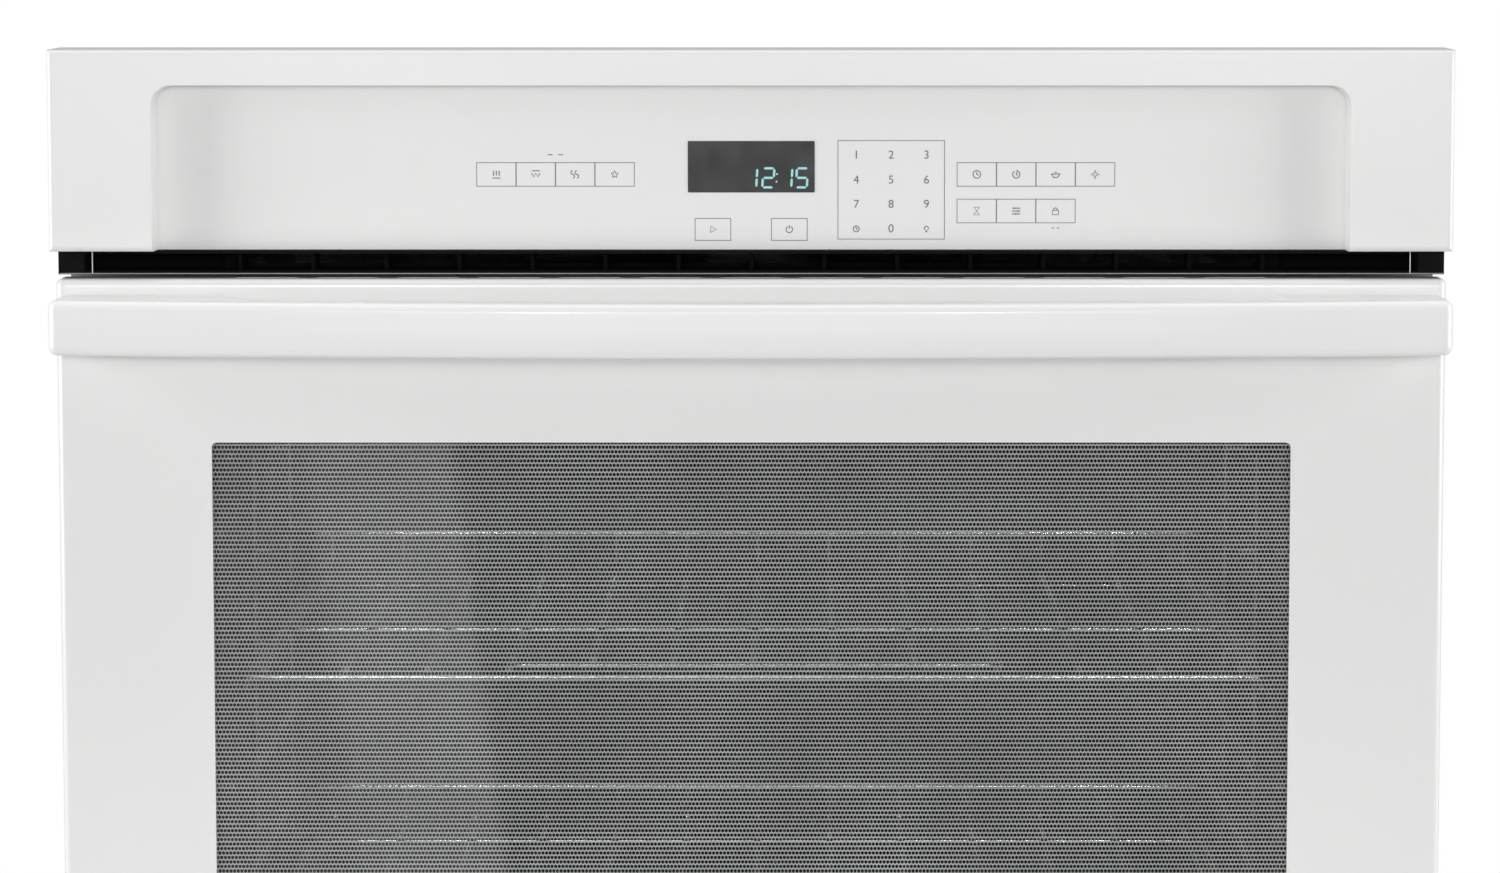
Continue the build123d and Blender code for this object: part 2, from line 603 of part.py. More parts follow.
board_y = -246.0
board_back_y = board_y + 1.6
board_x = (-120.0, 200.0)
board_z = (630.0, 710.0)
post_places = [(x, z) for x in (board_x[0] + 6, board_x[1] - 6)
               for z in (board_z[0] + 3, board_z[1] - 2.5)]
module_half = DISPLAY_HALF - 1.6
chip_x = (60.0, 110.0)
plug_x = (-100.0, -60.0)
capacitor_x = (150.0, 164.0, 178.0)
with BuildPart() as control_board:
    block(board_x, (board_y, board_back_y), board_z)
    block((-module_half, module_half), (pocket_front + 0.2, board_y),
          (DISPLAY_Z[0] + 1.2, DISPLAY_Z[1] - 0.9))
    block(chip_x, (board_y - 4, board_y), (655, 680))
    block(plug_x, (board_y - 7, board_y), (650, 690))
    with Locations(*[(x, board_y - 4, 665) for x in capacitor_x]):
        Cylinder(4, 8, rotation=(90, 0, 0))
save(control_board, "control_board")

with BuildPart() as panel_bracket:
    with BuildSketch(facing(FRAME_FACE)):
        with Locations((0, PANEL_OPENING_Z)):
            RectangleRounded(PANEL_OPENING[0] + 110, PANEL_OPENING[1] + 22, 4)
            RectangleRounded(*PANEL_OPENING, 8, mode=Mode.SUBTRACT)
        with Locations(*[(x, z) for x in (-PANEL_SCREW_X, PANEL_SCREW_X)
                         for z in PANEL_SCREW_Z]):
            Circle(SCREW_HOLE_R, mode=Mode.SUBTRACT)
    extrude(amount=FRAME_FACE - PANEL_BACK)
    for x, z in post_places:
        rod(3, (x, PANEL_BACK, z), (x, board_back_y, z))
save(panel_bracket, "panel_bracket")

with BuildPart() as panel_screws:
    for x in (-PANEL_SCREW_X, PANEL_SCREW_X):
        for z in PANEL_SCREW_Z:
            rod(SCREW_HEAD_R, (x, FRAME_FACE, z), (x, FRAME_FACE + 2.2, z))
            rod(SCREW_SHANK_R, (x, FRAME_FACE, z), (x, PANEL_BACK - 12, z))
save(panel_screws, "panel_screws")

relay_x = (160.0, 320.0)
relay_y = 150.0
relay_z = (578.0, 580.0)
relay_size = (20.0, 26.0, 18.0)
capacitor_size = (9.0, 24.0)
transformer_size = (46.0, 42.0, 34.0)
with BuildPart() as relay_board:
    block(relay_x, (relay_y - 60, relay_y + 60), relay_z)
    for i in range(5):
        with Locations((relay_x[0] + 20 + 28 * i, relay_y - 35, relay_z[1] + relay_size[2] / 2)):
            Box(*relay_size)
    for i in range(2):
        with Locations((relay_x[0] + 30 + 30 * i, relay_y + 30,
                        relay_z[1] + capacitor_size[1] / 2)):
            Cylinder(*capacitor_size)
    with Locations((relay_x[1] - 35, relay_y + 25, relay_z[1] + transformer_size[2] / 2)):
        Box(*transformer_size)
    for x in (relay_x[0] + 8, relay_x[1] - 8):
        for y in (relay_y - 52, relay_y + 52):
            rod(4, (x, y, BAY_FLOOR + SHEET), (x, y, relay_z[0]))
save(relay_board, "relay_board")

vent_half = DOOR_WIDTH / 2
vent_end = 14.0               # solid ends of the trim
vent_rib_y = (VENT_FACE + 12, FRAME_FACE)
vent_rib_pitch = 40
vent_rib_reach = 280
with BuildPart() as vent_trim:
    block((-vent_half, vent_half), (VENT_FACE, FRAME_FACE), VENT_Z)
    block((-vent_half + vent_end, vent_half - vent_end), (VENT_FACE, FRAME_FACE - 2),
          (VENT_Z[0] + SHEET, VENT_Z[1] - SHEET), mode=Mode.SUBTRACT)
    block((-AIR_SLOT[0] / 2, AIR_SLOT[0] / 2), (VENT_FACE, FRAME_FACE),
          (VENT_Z[0] + SHEET, VENT_Z[1] - SHEET), mode=Mode.SUBTRACT)
    for x in range(-vent_rib_reach, vent_rib_reach + 1, vent_rib_pitch):
        block((x - 1, x + 1), vent_rib_y, (VENT_Z[0] + SHEET / 2, VENT_Z[1] - SHEET / 2))
save(vent_trim, "vent_trim")

bottom_trim_z = (2.0, DOOR_BOTTOM - 3)
bottom_trim_thick = 4.0
with BuildPart() as bottom_trim:
    block((-vent_half, vent_half), (FRAME_FACE - bottom_trim_thick, FRAME_FACE), bottom_trim_z)
    with BuildSketch(facing(FRAME_FACE)):
        with Locations((0, sum(bottom_trim_z) / 2)):
            with GridLocations(60, 9, 11, 2):
                SlotOverall(48, 4)
    extrude(amount=bottom_trim_thick, mode=Mode.SUBTRACT)
    fillet(bottom_trim.faces().sort_by(Axis.Y)[0].outer_wire().edges(), 1.5)
save(bottom_trim, "bottom_trim")

# ---- cooling blower: housing, duct, motor and wheel ----
outlet_half = 32.0
outlet_y = BLOWER_Y - BLOWER_R - 12
intake_r = 38.0
with BuildPart() as blower_housing:
    rod(BLOWER_R, (BLOWER_X, BLOWER_Y, BLOWER_Z[0]), (BLOWER_X, BLOWER_Y, BLOWER_Z[1]))
    block((-outlet_half, outlet_half), (outlet_y, BLOWER_Y), DUCT_Z)
    rod(BLOWER_R - SHEET, (BLOWER_X, BLOWER_Y, BLOWER_Z[0] + SHEET),
        (BLOWER_X, BLOWER_Y, BLOWER_Z[1] - SHEET), mode=Mode.SUBTRACT)
    block((-outlet_half + SHEET, outlet_half - SHEET), (outlet_y, BLOWER_Y),
          (DUCT_Z[0] + SHEET, DUCT_Z[1] - SHEET), mode=Mode.SUBTRACT)
    rod(intake_r, (BLOWER_X, BLOWER_Y, BLOWER_Z[1] - SHEET), (BLOWER_X, BLOWER_Y, BLOWER_Z[1]),
        mode=Mode.SUBTRACT)
    for x in (-45, 45):
        for y in (-35, 35):
            rod(4, (x, BLOWER_Y + y, BAY_FLOOR + SHEET), (x, BLOWER_Y + y, BLOWER_Z[0]))
save(blower_housing, "blower_housing")

motor_z = (BLOWER_Z[1] + 16, BLOWER_Z[1] + 54)
motor_r = 28.0
foot_reach = 50.0
shaft_r = 3.0
shaft_top = motor_z[0] + 23
with BuildPart() as blower_motor:
    rod(motor_r, (BLOWER_X, BLOWER_Y, motor_z[0]), (BLOWER_X, BLOWER_Y, motor_z[1]))
    fillet(blower_motor.edges().filter_by(GeomType.CIRCLE), 3)
    for turn in (30, 150, 270):
        across, along = cos(radians(turn)), sin(radians(turn))
        knee = (BLOWER_X + foot_reach * across, BLOWER_Y + foot_reach * along, motor_z[0] + 12)
        rod(3, (knee[0], knee[1], BLOWER_Z[1]), knee)
        rod(3, (BLOWER_X + 20 * across, BLOWER_Y + 20 * along, knee[2]), knee)
    rod(shaft_r + RUNNING_GAP, (BLOWER_X, BLOWER_Y, motor_z[0]),
        (BLOWER_X, BLOWER_Y, shaft_top + 1), mode=Mode.SUBTRACT)
save(blower_motor, "blower_motor")

blade_z = (BLOWER_Z[0] + 4, BLOWER_Z[1] - 6)
wheel_r = (37.0, 48.0)
blade_size = (10.0, 1.2)
blade_count = 24
blade_turn = 30.0
with BuildPart() as blower_wheel:
    rod(wheel_r[1], (BLOWER_X, BLOWER_Y, blade_z[0]), (BLOWER_X, BLOWER_Y, blade_z[0] + SHEET))
    with BuildSketch(Plane.XY.offset(blade_z[1] - SHEET)):
        with Locations((BLOWER_X, BLOWER_Y)):
            Circle(wheel_r[1])
            Circle(wheel_r[0], mode=Mode.SUBTRACT)
    extrude(amount=SHEET)
    with BuildSketch(Plane.XY.offset(blade_z[0])):
        with Locations((BLOWER_X, BLOWER_Y)):
            with PolarLocations(sum(wheel_r) / 2, blade_count):
                Rectangle(*blade_size, rotation=blade_turn)
    extrude(amount=blade_z[1] - blade_z[0])
    rod(8, (BLOWER_X, BLOWER_Y, blade_z[0]), (BLOWER_X, BLOWER_Y, blade_z[0] + 20))
    rod(shaft_r, (BLOWER_X, BLOWER_Y, blade_z[0]), (BLOWER_X, BLOWER_Y, shaft_top))
save(blower_wheel, "blower_wheel")

duct_back_y = outlet_y - 0.2
duct_wide_y = -120.0          # the duct flares from the blower to this depth


def duct_plan(narrow, wide):
    """Plan of the flared duct, given its half widths at the blower and at the front."""
    side = [(narrow, duct_back_y), (wide, duct_wide_y), (wide, FRAME_BACK)]
    return [(-x, y) for x, y in side] + side[::-1]


with BuildPart() as air_duct:
    with BuildSketch(Plane.XY.offset(DUCT_Z[0])):
        Polygon(*duct_plan(outlet_half, AIR_SLOT[0] / 2), align=None)
    extrude(amount=DUCT_Z[1] - DUCT_Z[0])
    with BuildSketch(Plane.XY.offset(DUCT_Z[0] + SHEET)):
        Polygon(*duct_plan(outlet_half - SHEET, AIR_SLOT[0] / 2 - SHEET), align=None)
    extrude(amount=DUCT_Z[1] - DUCT_Z[0] - 2 * SHEET, mode=Mode.SUBTRACT)
save(air_duct, "air_duct")

# ---- door latch and lamp switch ----
pivot_x, pivot_y = LATCH_PIVOT
plate_top = BAY_FLOOR + SHEET + SHEET
with BuildPart() as latch_bracket:
    block((-45, 60), (-215, -130), (BAY_FLOOR + SHEET, plate_top))
    rod(LATCH_PIN_R, (pivot_x, pivot_y, plate_top), (pivot_x, pivot_y, LATCH_Z[1] + 3))
    rod(2 * LATCH_PIN_R, (pivot_x, pivot_y, plate_top), (pivot_x, pivot_y, LATCH_Z[0] - FIT_GAP))
save(latch_bracket, "latch_bracket")

latch_motor_at = (34.0, -160.0)
latch_motor_r = 18.0
latch_motor_top = 588.0
motor_strap = (22.0, 3.0)     # half length and half width of the strap under the motor
with BuildPart() as latch_motor:
    rod(latch_motor_r, (*latch_motor_at, plate_top), (*latch_motor_at, latch_motor_top))
    rod(3, (*latch_motor_at, latch_motor_top), (*latch_motor_at, latch_motor_top + 4))
    block((latch_motor_at[0] - motor_strap[0], latch_motor_at[0] + motor_strap[0]),
          (latch_motor_at[1] - motor_strap[1], latch_motor_at[1] + motor_strap[1]),
          (plate_top, plate_top + 2))
save(latch_motor, "latch_motor")

hub = 8.0                     # half width of the hook's plate round its pivot
neck_x = (-6.0, 0.0)
neck_back_y = -222.0
barb_x = 4.0
hook_tip_y = -246.0
with BuildPart() as latch_hook:
    with BuildSketch(Plane.XY.offset(LATCH_Z[0])):
        with BuildLine():
            Polyline((pivot_x - hub, pivot_y + hub), (pivot_x + hub, pivot_y + hub),
                     (pivot_x + hub + 2, pivot_y - hub + 2), (neck_x[1], neck_back_y),
                     (neck_x[1], hook_tip_y + 7), (barb_x, hook_tip_y + 5),
                     (barb_x, hook_tip_y + 2), (neck_x[1], hook_tip_y), (neck_x[0], hook_tip_y),
                     (neck_x[0], neck_back_y), (pivot_x - hub, pivot_y - hub + 2), close=True)
        make_face()
        with Locations(LATCH_PIVOT):
            Circle(LATCH_PIN_R + RUNNING_GAP, mode=Mode.SUBTRACT)
    extrude(amount=LATCH_Z[1] - LATCH_Z[0])
save(latch_hook, "latch_hook")

plunger_r = 3.5
switch_size = (16.0, 26.0, 14.0)
with BuildPart() as light_switch_body:
    block((SWITCH_X - switch_size[0] / 2, SWITCH_X + switch_size[0] / 2),
          (FRAME_BACK, FRAME_BACK + switch_size[1]),
          (SWITCH_Z - switch_size[2] / 2, SWITCH_Z + switch_size[2] / 2))
    rod(plunger_r + RUNNING_GAP, (SWITCH_X, FRAME_BACK, SWITCH_Z),
        (SWITCH_X, FRAME_BACK + 20, SWITCH_Z), mode=Mode.SUBTRACT)
save(light_switch_body, "light_switch_body")

with BuildPart() as light_switch_plunger:
    rod(plunger_r, (SWITCH_X, DOOR_BACK + 0.4, SWITCH_Z), (SWITCH_X, FRAME_BACK + 18, SWITCH_Z))
    fillet(light_switch_plunger.edges().group_by(Axis.Y)[0], 1.5)
save(light_switch_plunger, "light_switch_plunger")

# ---- door hinges ----
arm_end_y = -150.0
arm_height = 16.0
with BuildPart() as hinge_arms:
    for sign in (-1, 1):
        with BuildSketch(Plane.YZ.offset(sign * HINGE_X - ARM_THICK / 2)):
            with Locations((HINGE_Y, HINGE_Z)):
                Circle(arm_height / 2 + 1)
            with Locations(((HINGE_Y + arm_end_y) / 2, HINGE_Z)):
                Rectangle(arm_end_y - HINGE_Y, arm_height)
            with Locations((HINGE_Y, HINGE_Z)):
                Circle(HINGE_PIN_R + RUNNING_GAP, mode=Mode.SUBTRACT)
            with Locations((HOOK_PIN_Y, HINGE_Z)):
                Circle(HOOK_PIN_R + 0.1, mode=Mode.SUBTRACT)
        extrude(amount=ARM_THICK)
save(hinge_arms, "hinge_arms")

receiver_half = 6.0
receiver_y = (FRAME_BACK, -130.0)
receiver_z = (20.0, 60.0)
with BuildPart() as hinge_receivers:
    for sign in (-1, 1):
        middle = sign * HINGE_X
        block((middle - receiver_half, middle + receiver_half), receiver_y, receiver_z)
        block((middle - receiver_half + SHEET, middle + receiver_half - SHEET), receiver_y,
              (receiver_z[0] + SHEET, receiver_z[1]), mode=Mode.SUBTRACT)
        rod(HOOK_PIN_R, (middle - receiver_half, HOOK_PIN_Y, HINGE_Z),
            (middle + receiver_half, HOOK_PIN_Y, HINGE_Z))
save(hinge_receivers, "hinge_receivers")

channel_z = (32.0, 190.0)
channel_y = (-262.0, -234.0)
channel_half = 7.0
channel_wall = 2.0
with BuildPart() as hinge_channels:
    for sign in (-1, 1):
        middle = sign * HINGE_X
        block((middle - channel_half, middle + channel_half), channel_y, channel_z)
        block((middle - channel_half + channel_wall, middle + channel_half - channel_wall),
              (channel_y[0] + channel_wall, channel_y[1]), channel_z, mode=Mode.SUBTRACT)
        rod(HINGE_PIN_R, (middle - channel_half, HINGE_Y, HINGE_Z),
            (middle + channel_half, HINGE_Y, HINGE_Z), mode=Mode.SUBTRACT)
save(hinge_channels, "hinge_channels")

with BuildPart() as hinge_pins:
    for sign in (-1, 1):
        middle = sign * HINGE_X
        head_x = middle + channel_half
        rod(HINGE_PIN_R, (middle - channel_half, HINGE_Y, HINGE_Z), (head_x, HINGE_Y, HINGE_Z))
        rod(HINGE_PIN_R + 2, (head_x, HINGE_Y, HINGE_Z), (head_x + 2, HINGE_Y, HINGE_Z))
save(hinge_pins, "hinge_pins")

spring_z = (62.0, 172.0)
for side_name, sign in (("left", -1), ("right", 1)):
    with BuildPart() as hinge_spring:
        start = Vector(sign * HINGE_X, SPRING_Y, spring_z[0])
        with BuildLine(Plane(origin=start)) as coil:
            Helix(pitch=SPRING_PITCH, height=spring_z[1] - spring_z[0], radius=SPRING_R)
        with BuildSketch(Plane(origin=coil.line @ 0, z_dir=coil.line % 0)):
            Circle(SPRING_WIRE_R)
        sweep(path=coil.line, is_frenet=True)
    save(hinge_spring, f"hinge_spring_{side_name}")

# ---- door ----
door_half = DOOR_WIDTH / 2
tray_wall = 2.5
frame_open_w = WINDOW_WIDTH + 2 * SIGHT_MARGIN
frame_open_h = WINDOW_HEIGHT + 2 * SIGHT_MARGIN
handle_screw_x = (346.0, 366.0)
handle_screw_r = 2.4
handle_screws_at = [(sign * x, sum(HANDLE_Z) / 2) for sign in (-1, 1) for x in handle_screw_x]
liner_screw_x = 365.5
liner_screw_z = (230.0, 400.0, 570.0)
liner_screws_at = [(sign * liner_screw_x, z) for sign in (-1, 1) for z in liner_screw_z]
tray_flange = 14.0

with BuildPart() as door_outer_panel:
    block((-door_half, door_half), (DOOR_FACE, LINER_SPLIT), (DOOR_BOTTOM, DOOR_TOP))
    fillet(door_outer_panel.edges().filter_by(Axis.Y), 3)
    fillet(door_outer_panel.faces().sort_by(Axis.Y)[0].edges(), 4)
    block((-door_half + tray_wall, door_half - tray_wall), (DOOR_FACE + SKIN, LINER_SPLIT),
          (DOOR_BOTTOM + tray_wall, DOOR_TOP - tray_wall), mode=Mode.SUBTRACT)
    for sign in (-1, 1):
        block(span(sign * (door_half - tray_flange), sign * (door_half - tray_wall)),
              (LINER_SPLIT - 2, LINER_SPLIT), (DOOR_BOTTOM + 2, DOOR_TOP - 2))
    with BuildSketch(facing(DOOR_FACE + SKIN)):
        with Locations((0, WINDOW_MID)):
            RectangleRounded(WINDOW_WIDTH, WINDOW_HEIGHT, WINDOW_RADIUS)
        with Locations(*handle_screws_at):
            Circle(handle_screw_r + 0.2)
    extrude(amount=SKIN, mode=Mode.SUBTRACT)
    with BuildSketch(facing(LINER_SPLIT)):
        with Locations(*liner_screws_at):
            Circle(SCREW_SHANK_R + RUNNING_GAP)
    extrude(amount=2, mode=Mode.SUBTRACT)
    with BuildSketch(Plane.XY.offset(DOOR_TOP - tray_wall)):
        with Locations((0, DOOR_FACE + 12)):
            with GridLocations(44, 10, 13, 1):
                SlotOverall(34, 4)
    extrude(amount=tray_wall, mode=Mode.SUBTRACT)
save(door_outer_panel, "door_outer_panel")

outer_pane_y = DOOR_FACE + SKIN + PANE
outer_pane_lap = 20.0         # each pane and frame laps behind its opening by this much
with BuildPart() as door_outer_glass:
    with BuildSketch(facing(outer_pane_y)):
        with Locations((0, WINDOW_MID)):
            RectangleRounded(WINDOW_WIDTH + 2 * outer_pane_lap,
                             WINDOW_HEIGHT + 2 * outer_pane_lap, 6)
    extrude(amount=PANE)
save(door_outer_glass, "door_outer_glass")

screen_thick = 0.8
screen_gap = 0.6
screen_lap = 18.0
screen_y = outer_pane_y + screen_gap + screen_thick
slot_size = (33.0, 7.0)
slot_pitch = (36.0, 11.0)
slot_count = (16, 31)
with BuildPart() as window_screen:
    with BuildSketch(facing(screen_y)):
        with Locations((0, WINDOW_MID)):
            RectangleRounded(WINDOW_WIDTH + 2 * screen_lap, WINDOW_HEIGHT + 2 * screen_lap, 5)
            with GridLocations(*slot_pitch, *slot_count):
                SlotOverall(*slot_size, mode=Mode.SUBTRACT)
    extrude(amount=screen_thick)
save(window_screen, "window_screen")

glass_frame_y = (screen_y, DOOR_BACK - 5.8)
middle_pane_y = DOOR_BACK - 19
frame_lap = 20.0
middle_pane_lap = 7.0
with BuildPart() as glass_frame:
    with BuildSketch(facing(glass_frame_y[1])):
        with Locations((0, WINDOW_MID)):
            RectangleRounded(frame_open_w + 2 * frame_lap, frame_open_h + 2 * frame_lap, 8)
            RectangleRounded(frame_open_w, frame_open_h, 10, mode=Mode.SUBTRACT)
    extrude(amount=glass_frame_y[1] - glass_frame_y[0])
    with BuildSketch(facing(middle_pane_y)):
        with Locations((0, WINDOW_MID)):
            Rectangle(frame_open_w + 2 * middle_pane_lap + 2,
                      frame_open_h + 2 * middle_pane_lap + 2)
    extrude(amount=PANE + 0.2, mode=Mode.SUBTRACT)
save(glass_frame, "glass_frame")

with BuildPart() as door_middle_glass:
    with BuildSketch(facing(middle_pane_y - 0.1)):
        with Locations((0, WINDOW_MID)):
            Rectangle(frame_open_w + 2 * middle_pane_lap, frame_open_h + 2 * middle_pane_lap)
    extrude(amount=PANE)
save(door_middle_glass, "door_middle_glass")

liner_sheet_y = DOOR_BACK - SHEET
inner_pane_lap = 12.0
with BuildPart() as door_inner_glass:
    with BuildSketch(facing(liner_sheet_y)):
        with Locations((0, WINDOW_MID)):
            RectangleRounded(frame_open_w + 2 * inner_pane_lap,
                             frame_open_h + 2 * inner_pane_lap, 6)
    extrude(amount=PANE)
save(door_inner_glass, "door_inner_glass")

liner_bottom = DOOR_BOTTOM + 2
liner_top = DOOR_TOP - 4
liner_slot = (25.0, 12.0)     # the latch hook swings inside this slot
arm_notch = (10.0, 14.0)      # width, and height over the pivot, that each hinge arm needs
with BuildPart() as door_liner:
    block((-LINER_HALF, LINER_HALF), (LINER_SPLIT, DOOR_BACK), (liner_bottom, liner_top))
    fillet(door_liner.faces().sort_by(Axis.Y)[-1].edges(), 4)
    block((-LINER_HALF + SHEET, LINER_HALF - SHEET), (LINER_SPLIT, liner_sheet_y),
          (liner_bottom + SHEET, liner_top - SHEET), mode=Mode.SUBTRACT)
    with BuildSketch(facing(DOOR_BACK)):
        with Locations((0, WINDOW_MID)):
            RectangleRounded(frame_open_w, frame_open_h, 10)
        with Locations(LATCH_SLOT_AT):
            Rectangle(*liner_slot)
        with Locations(*liner_screws_at):
            Circle(SCREW_HOLE_R)
    extrude(amount=SHEET, mode=Mode.SUBTRACT)
    for sign in (-1, 1):
        middle = sign * HINGE_X
        block((middle - arm_notch[0] / 2, middle + arm_notch[0] / 2), (LINER_SPLIT, DOOR_BACK),
              (liner_bottom, HINGE_Z + arm_notch[1]), mode=Mode.SUBTRACT)
save(door_liner, "door_liner")

filling_width = 676.0
filling_z = (50.0, 590.0)
filling_thick = 16.0
with BuildPart() as door_insulation:
    with BuildSketch(facing(SPRING_Y)):
        with Locations((0, sum(filling_z) / 2)):
            Rectangle(filling_width, filling_z[1] - filling_z[0])
        with Locations((0, WINDOW_MID)):
            RectangleRounded(frame_open_w + 2 * frame_lap + 4, frame_open_h + 2 * frame_lap + 4,
                             8, mode=Mode.SUBTRACT)
    extrude(amount=filling_thick)
save(door_insulation, "door_insulation")

with BuildPart() as door_screws:
    for x, z in liner_screws_at:
        rod(SCREW_HEAD_R, (x, DOOR_BACK, z), (x, DOOR_BACK + 2, z))
        rod(SCREW_SHANK_R, (x, DOOR_BACK, z), (x, LINER_SPLIT - 6, z))
save(door_screws, "door_screws")

# ---- handle: a bowed bar with a foot at each end, cut from one plan outline ----
handle_bore = 18.0
bow = HANDLE_REACH - HANDLE_END_REACH
bow_radius = (HANDLE_HALF ** 2 + bow ** 2) / (2 * bow)


def handle_front(x):
    """Depth of the bar's front face at a distance x from the middle."""
    return FRONT_Y + bow_radius - (bow_radius ** 2 - x ** 2) ** 0.5


foot_x = HANDLE_HALF - HANDLE_FOOT
bar_x = foot_x - HANDLE_BLEND
bar_back = handle_front(bar_x) + HANDLE_BAR
back_slope = bar_x / (bow_radius ** 2 - bar_x ** 2) ** 0.5
with BuildPart() as door_handle:
    with BuildSketch(Plane.XY.offset(HANDLE_Z[0])):
        with BuildLine():
            ThreePointArc((-HANDLE_HALF, handle_front(HANDLE_HALF)), (0, FRONT_Y),
                          (HANDLE_HALF, handle_front(HANDLE_HALF)))
            Line((HANDLE_HALF, handle_front(HANDLE_HALF)), (HANDLE_HALF, DOOR_FACE))
            Line((HANDLE_HALF, DOOR_FACE), (foot_x, DOOR_FACE))
            Spline((foot_x, DOOR_FACE), (bar_x, bar_back),
                   tangents=[(-1, 0), (-1, -back_slope)])
            ThreePointArc((bar_x, bar_back), (0, FRONT_Y + HANDLE_BAR), (-bar_x, bar_back))
            Spline((-bar_x, bar_back), (-foot_x, DOOR_FACE),
                   tangents=[(-1, back_slope), (-1, 0)])
            Line((-foot_x, DOOR_FACE), (-HANDLE_HALF, DOOR_FACE))
            Line((-HANDLE_HALF, DOOR_FACE), (-HANDLE_HALF, handle_front(HANDLE_HALF)))
        make_face()
    extrude(amount=HANDLE_Z[1] - HANDLE_Z[0])
    front_edges = door_handle.faces().sort_by(Axis.Y)[0].edges()
    fillet(front_edges, HANDLE_ROUND)
    for x, z in handle_screws_at:
        rod(handle_screw_r + 0.1, (x, DOOR_FACE, z), (x, DOOR_FACE - handle_bore, z),
            mode=Mode.SUBTRACT)
save(door_handle, "door_handle")

with BuildPart() as handle_screws:
    for x, z in handle_screws_at:
        rod(SCREW_HEAD_R, (x, DOOR_FACE + SKIN, z), (x, DOOR_FACE + SKIN + 3, z))
        rod(handle_screw_r, (x, DOOR_FACE + SKIN, z), (x, DOOR_FACE - handle_bore + 1, z))
save(handle_screws, "handle_screws")
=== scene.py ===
import json
import math

import bmesh
import bpy
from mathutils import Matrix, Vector


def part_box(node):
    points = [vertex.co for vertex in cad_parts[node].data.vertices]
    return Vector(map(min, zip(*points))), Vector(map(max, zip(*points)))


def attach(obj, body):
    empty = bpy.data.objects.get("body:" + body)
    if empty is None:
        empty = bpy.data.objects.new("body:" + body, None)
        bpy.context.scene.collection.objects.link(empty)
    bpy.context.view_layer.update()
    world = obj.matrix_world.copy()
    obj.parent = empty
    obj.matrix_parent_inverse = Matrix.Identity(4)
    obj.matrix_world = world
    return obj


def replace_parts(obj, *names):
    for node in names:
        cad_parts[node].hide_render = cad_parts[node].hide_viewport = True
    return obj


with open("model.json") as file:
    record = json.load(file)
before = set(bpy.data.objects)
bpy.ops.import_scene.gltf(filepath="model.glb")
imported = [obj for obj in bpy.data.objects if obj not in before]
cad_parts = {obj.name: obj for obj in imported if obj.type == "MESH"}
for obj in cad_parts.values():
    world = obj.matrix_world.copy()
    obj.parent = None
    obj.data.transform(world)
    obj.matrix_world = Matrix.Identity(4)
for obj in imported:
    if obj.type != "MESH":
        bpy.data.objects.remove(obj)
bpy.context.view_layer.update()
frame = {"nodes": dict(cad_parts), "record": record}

MM = 0.001
SLOT_OF = {entry["node"]: entry["material_slot"] for entry in frame["record"]["subparts"]}


# ---- node helpers ----
def new_material(name):
    """An empty material with a Principled shader: returns it, its node tree and the shader."""
    material = bpy.data.materials.new(name)
    material.use_nodes = True
    tree = material.node_tree
    return material, tree, tree.nodes["Principled BSDF"]


def coordinates(tree, scale=(1, 1, 1)):
    """Object coordinates in metres, stretched by scale."""
    source = tree.nodes.new("ShaderNodeTexCoord")
    mapping = tree.nodes.new("ShaderNodeMapping")
    mapping.inputs["Scale"].default_value = scale
    tree.links.new(source.outputs["Object"], mapping.inputs["Vector"])
    return mapping.outputs["Vector"]


def noise(tree, scale, detail=3.0, rough=0.5, stretch=(1, 1, 1)):
    node = tree.nodes.new("ShaderNodeTexNoise")
    node.inputs["Scale"].default_value = scale
    node.inputs["Detail"].default_value = detail
    node.inputs["Roughness"].default_value = rough
    tree.links.new(coordinates(tree, stretch), node.inputs["Vector"])
    return node.outputs["Fac"]


def cells(tree, scale, feature="F1", stretch=(1, 1, 1)):
    node = tree.nodes.new("ShaderNodeTexVoronoi")
    node.feature = feature
    node.inputs["Scale"].default_value = scale
    tree.links.new(coordinates(tree, stretch), node.inputs["Vector"])
    return node


def ramp(tree, value, *stops):
    """A colour ramp over value; each stop is (position, colour)."""
    node = tree.nodes.new("ShaderNodeValToRGB")
    band = node.color_ramp
    band.elements[0].position, band.elements[0].color = stops[0][0], (*stops[0][1], 1)
    band.elements[1].position, band.elements[1].color = stops[-1][0], (*stops[-1][1], 1)
    for position, colour in stops[1:-1]:
        band.elements.new(position).color = (*colour, 1)
    tree.links.new(value, node.inputs["Fac"])
    return node.outputs["Color"]


def spread(tree, value, low, high):
    """Maps a 0 to 1 value onto low to high."""
    node = tree.nodes.new("ShaderNodeMapRange")
    node.inputs["To Min"].default_value = low
    node.inputs["To Max"].default_value = high
    tree.links.new(value, node.inputs["Value"])
    return node.outputs["Result"]


def bump(tree, shader, height, strength, distance=0.0005):
    node = tree.nodes.new("ShaderNodeBump")
    node.inputs["Strength"].default_value = strength
    node.inputs["Distance"].default_value = distance
    tree.links.new(height, node.inputs["Height"])
    tree.links.new(node.outputs["Normal"], shader.inputs["Normal"])


def finish_surface(tree, shader, colour, rough):
    tree.links.new(colour, shader.inputs["Base Color"])
    tree.links.new(rough, shader.inputs["Roughness"])


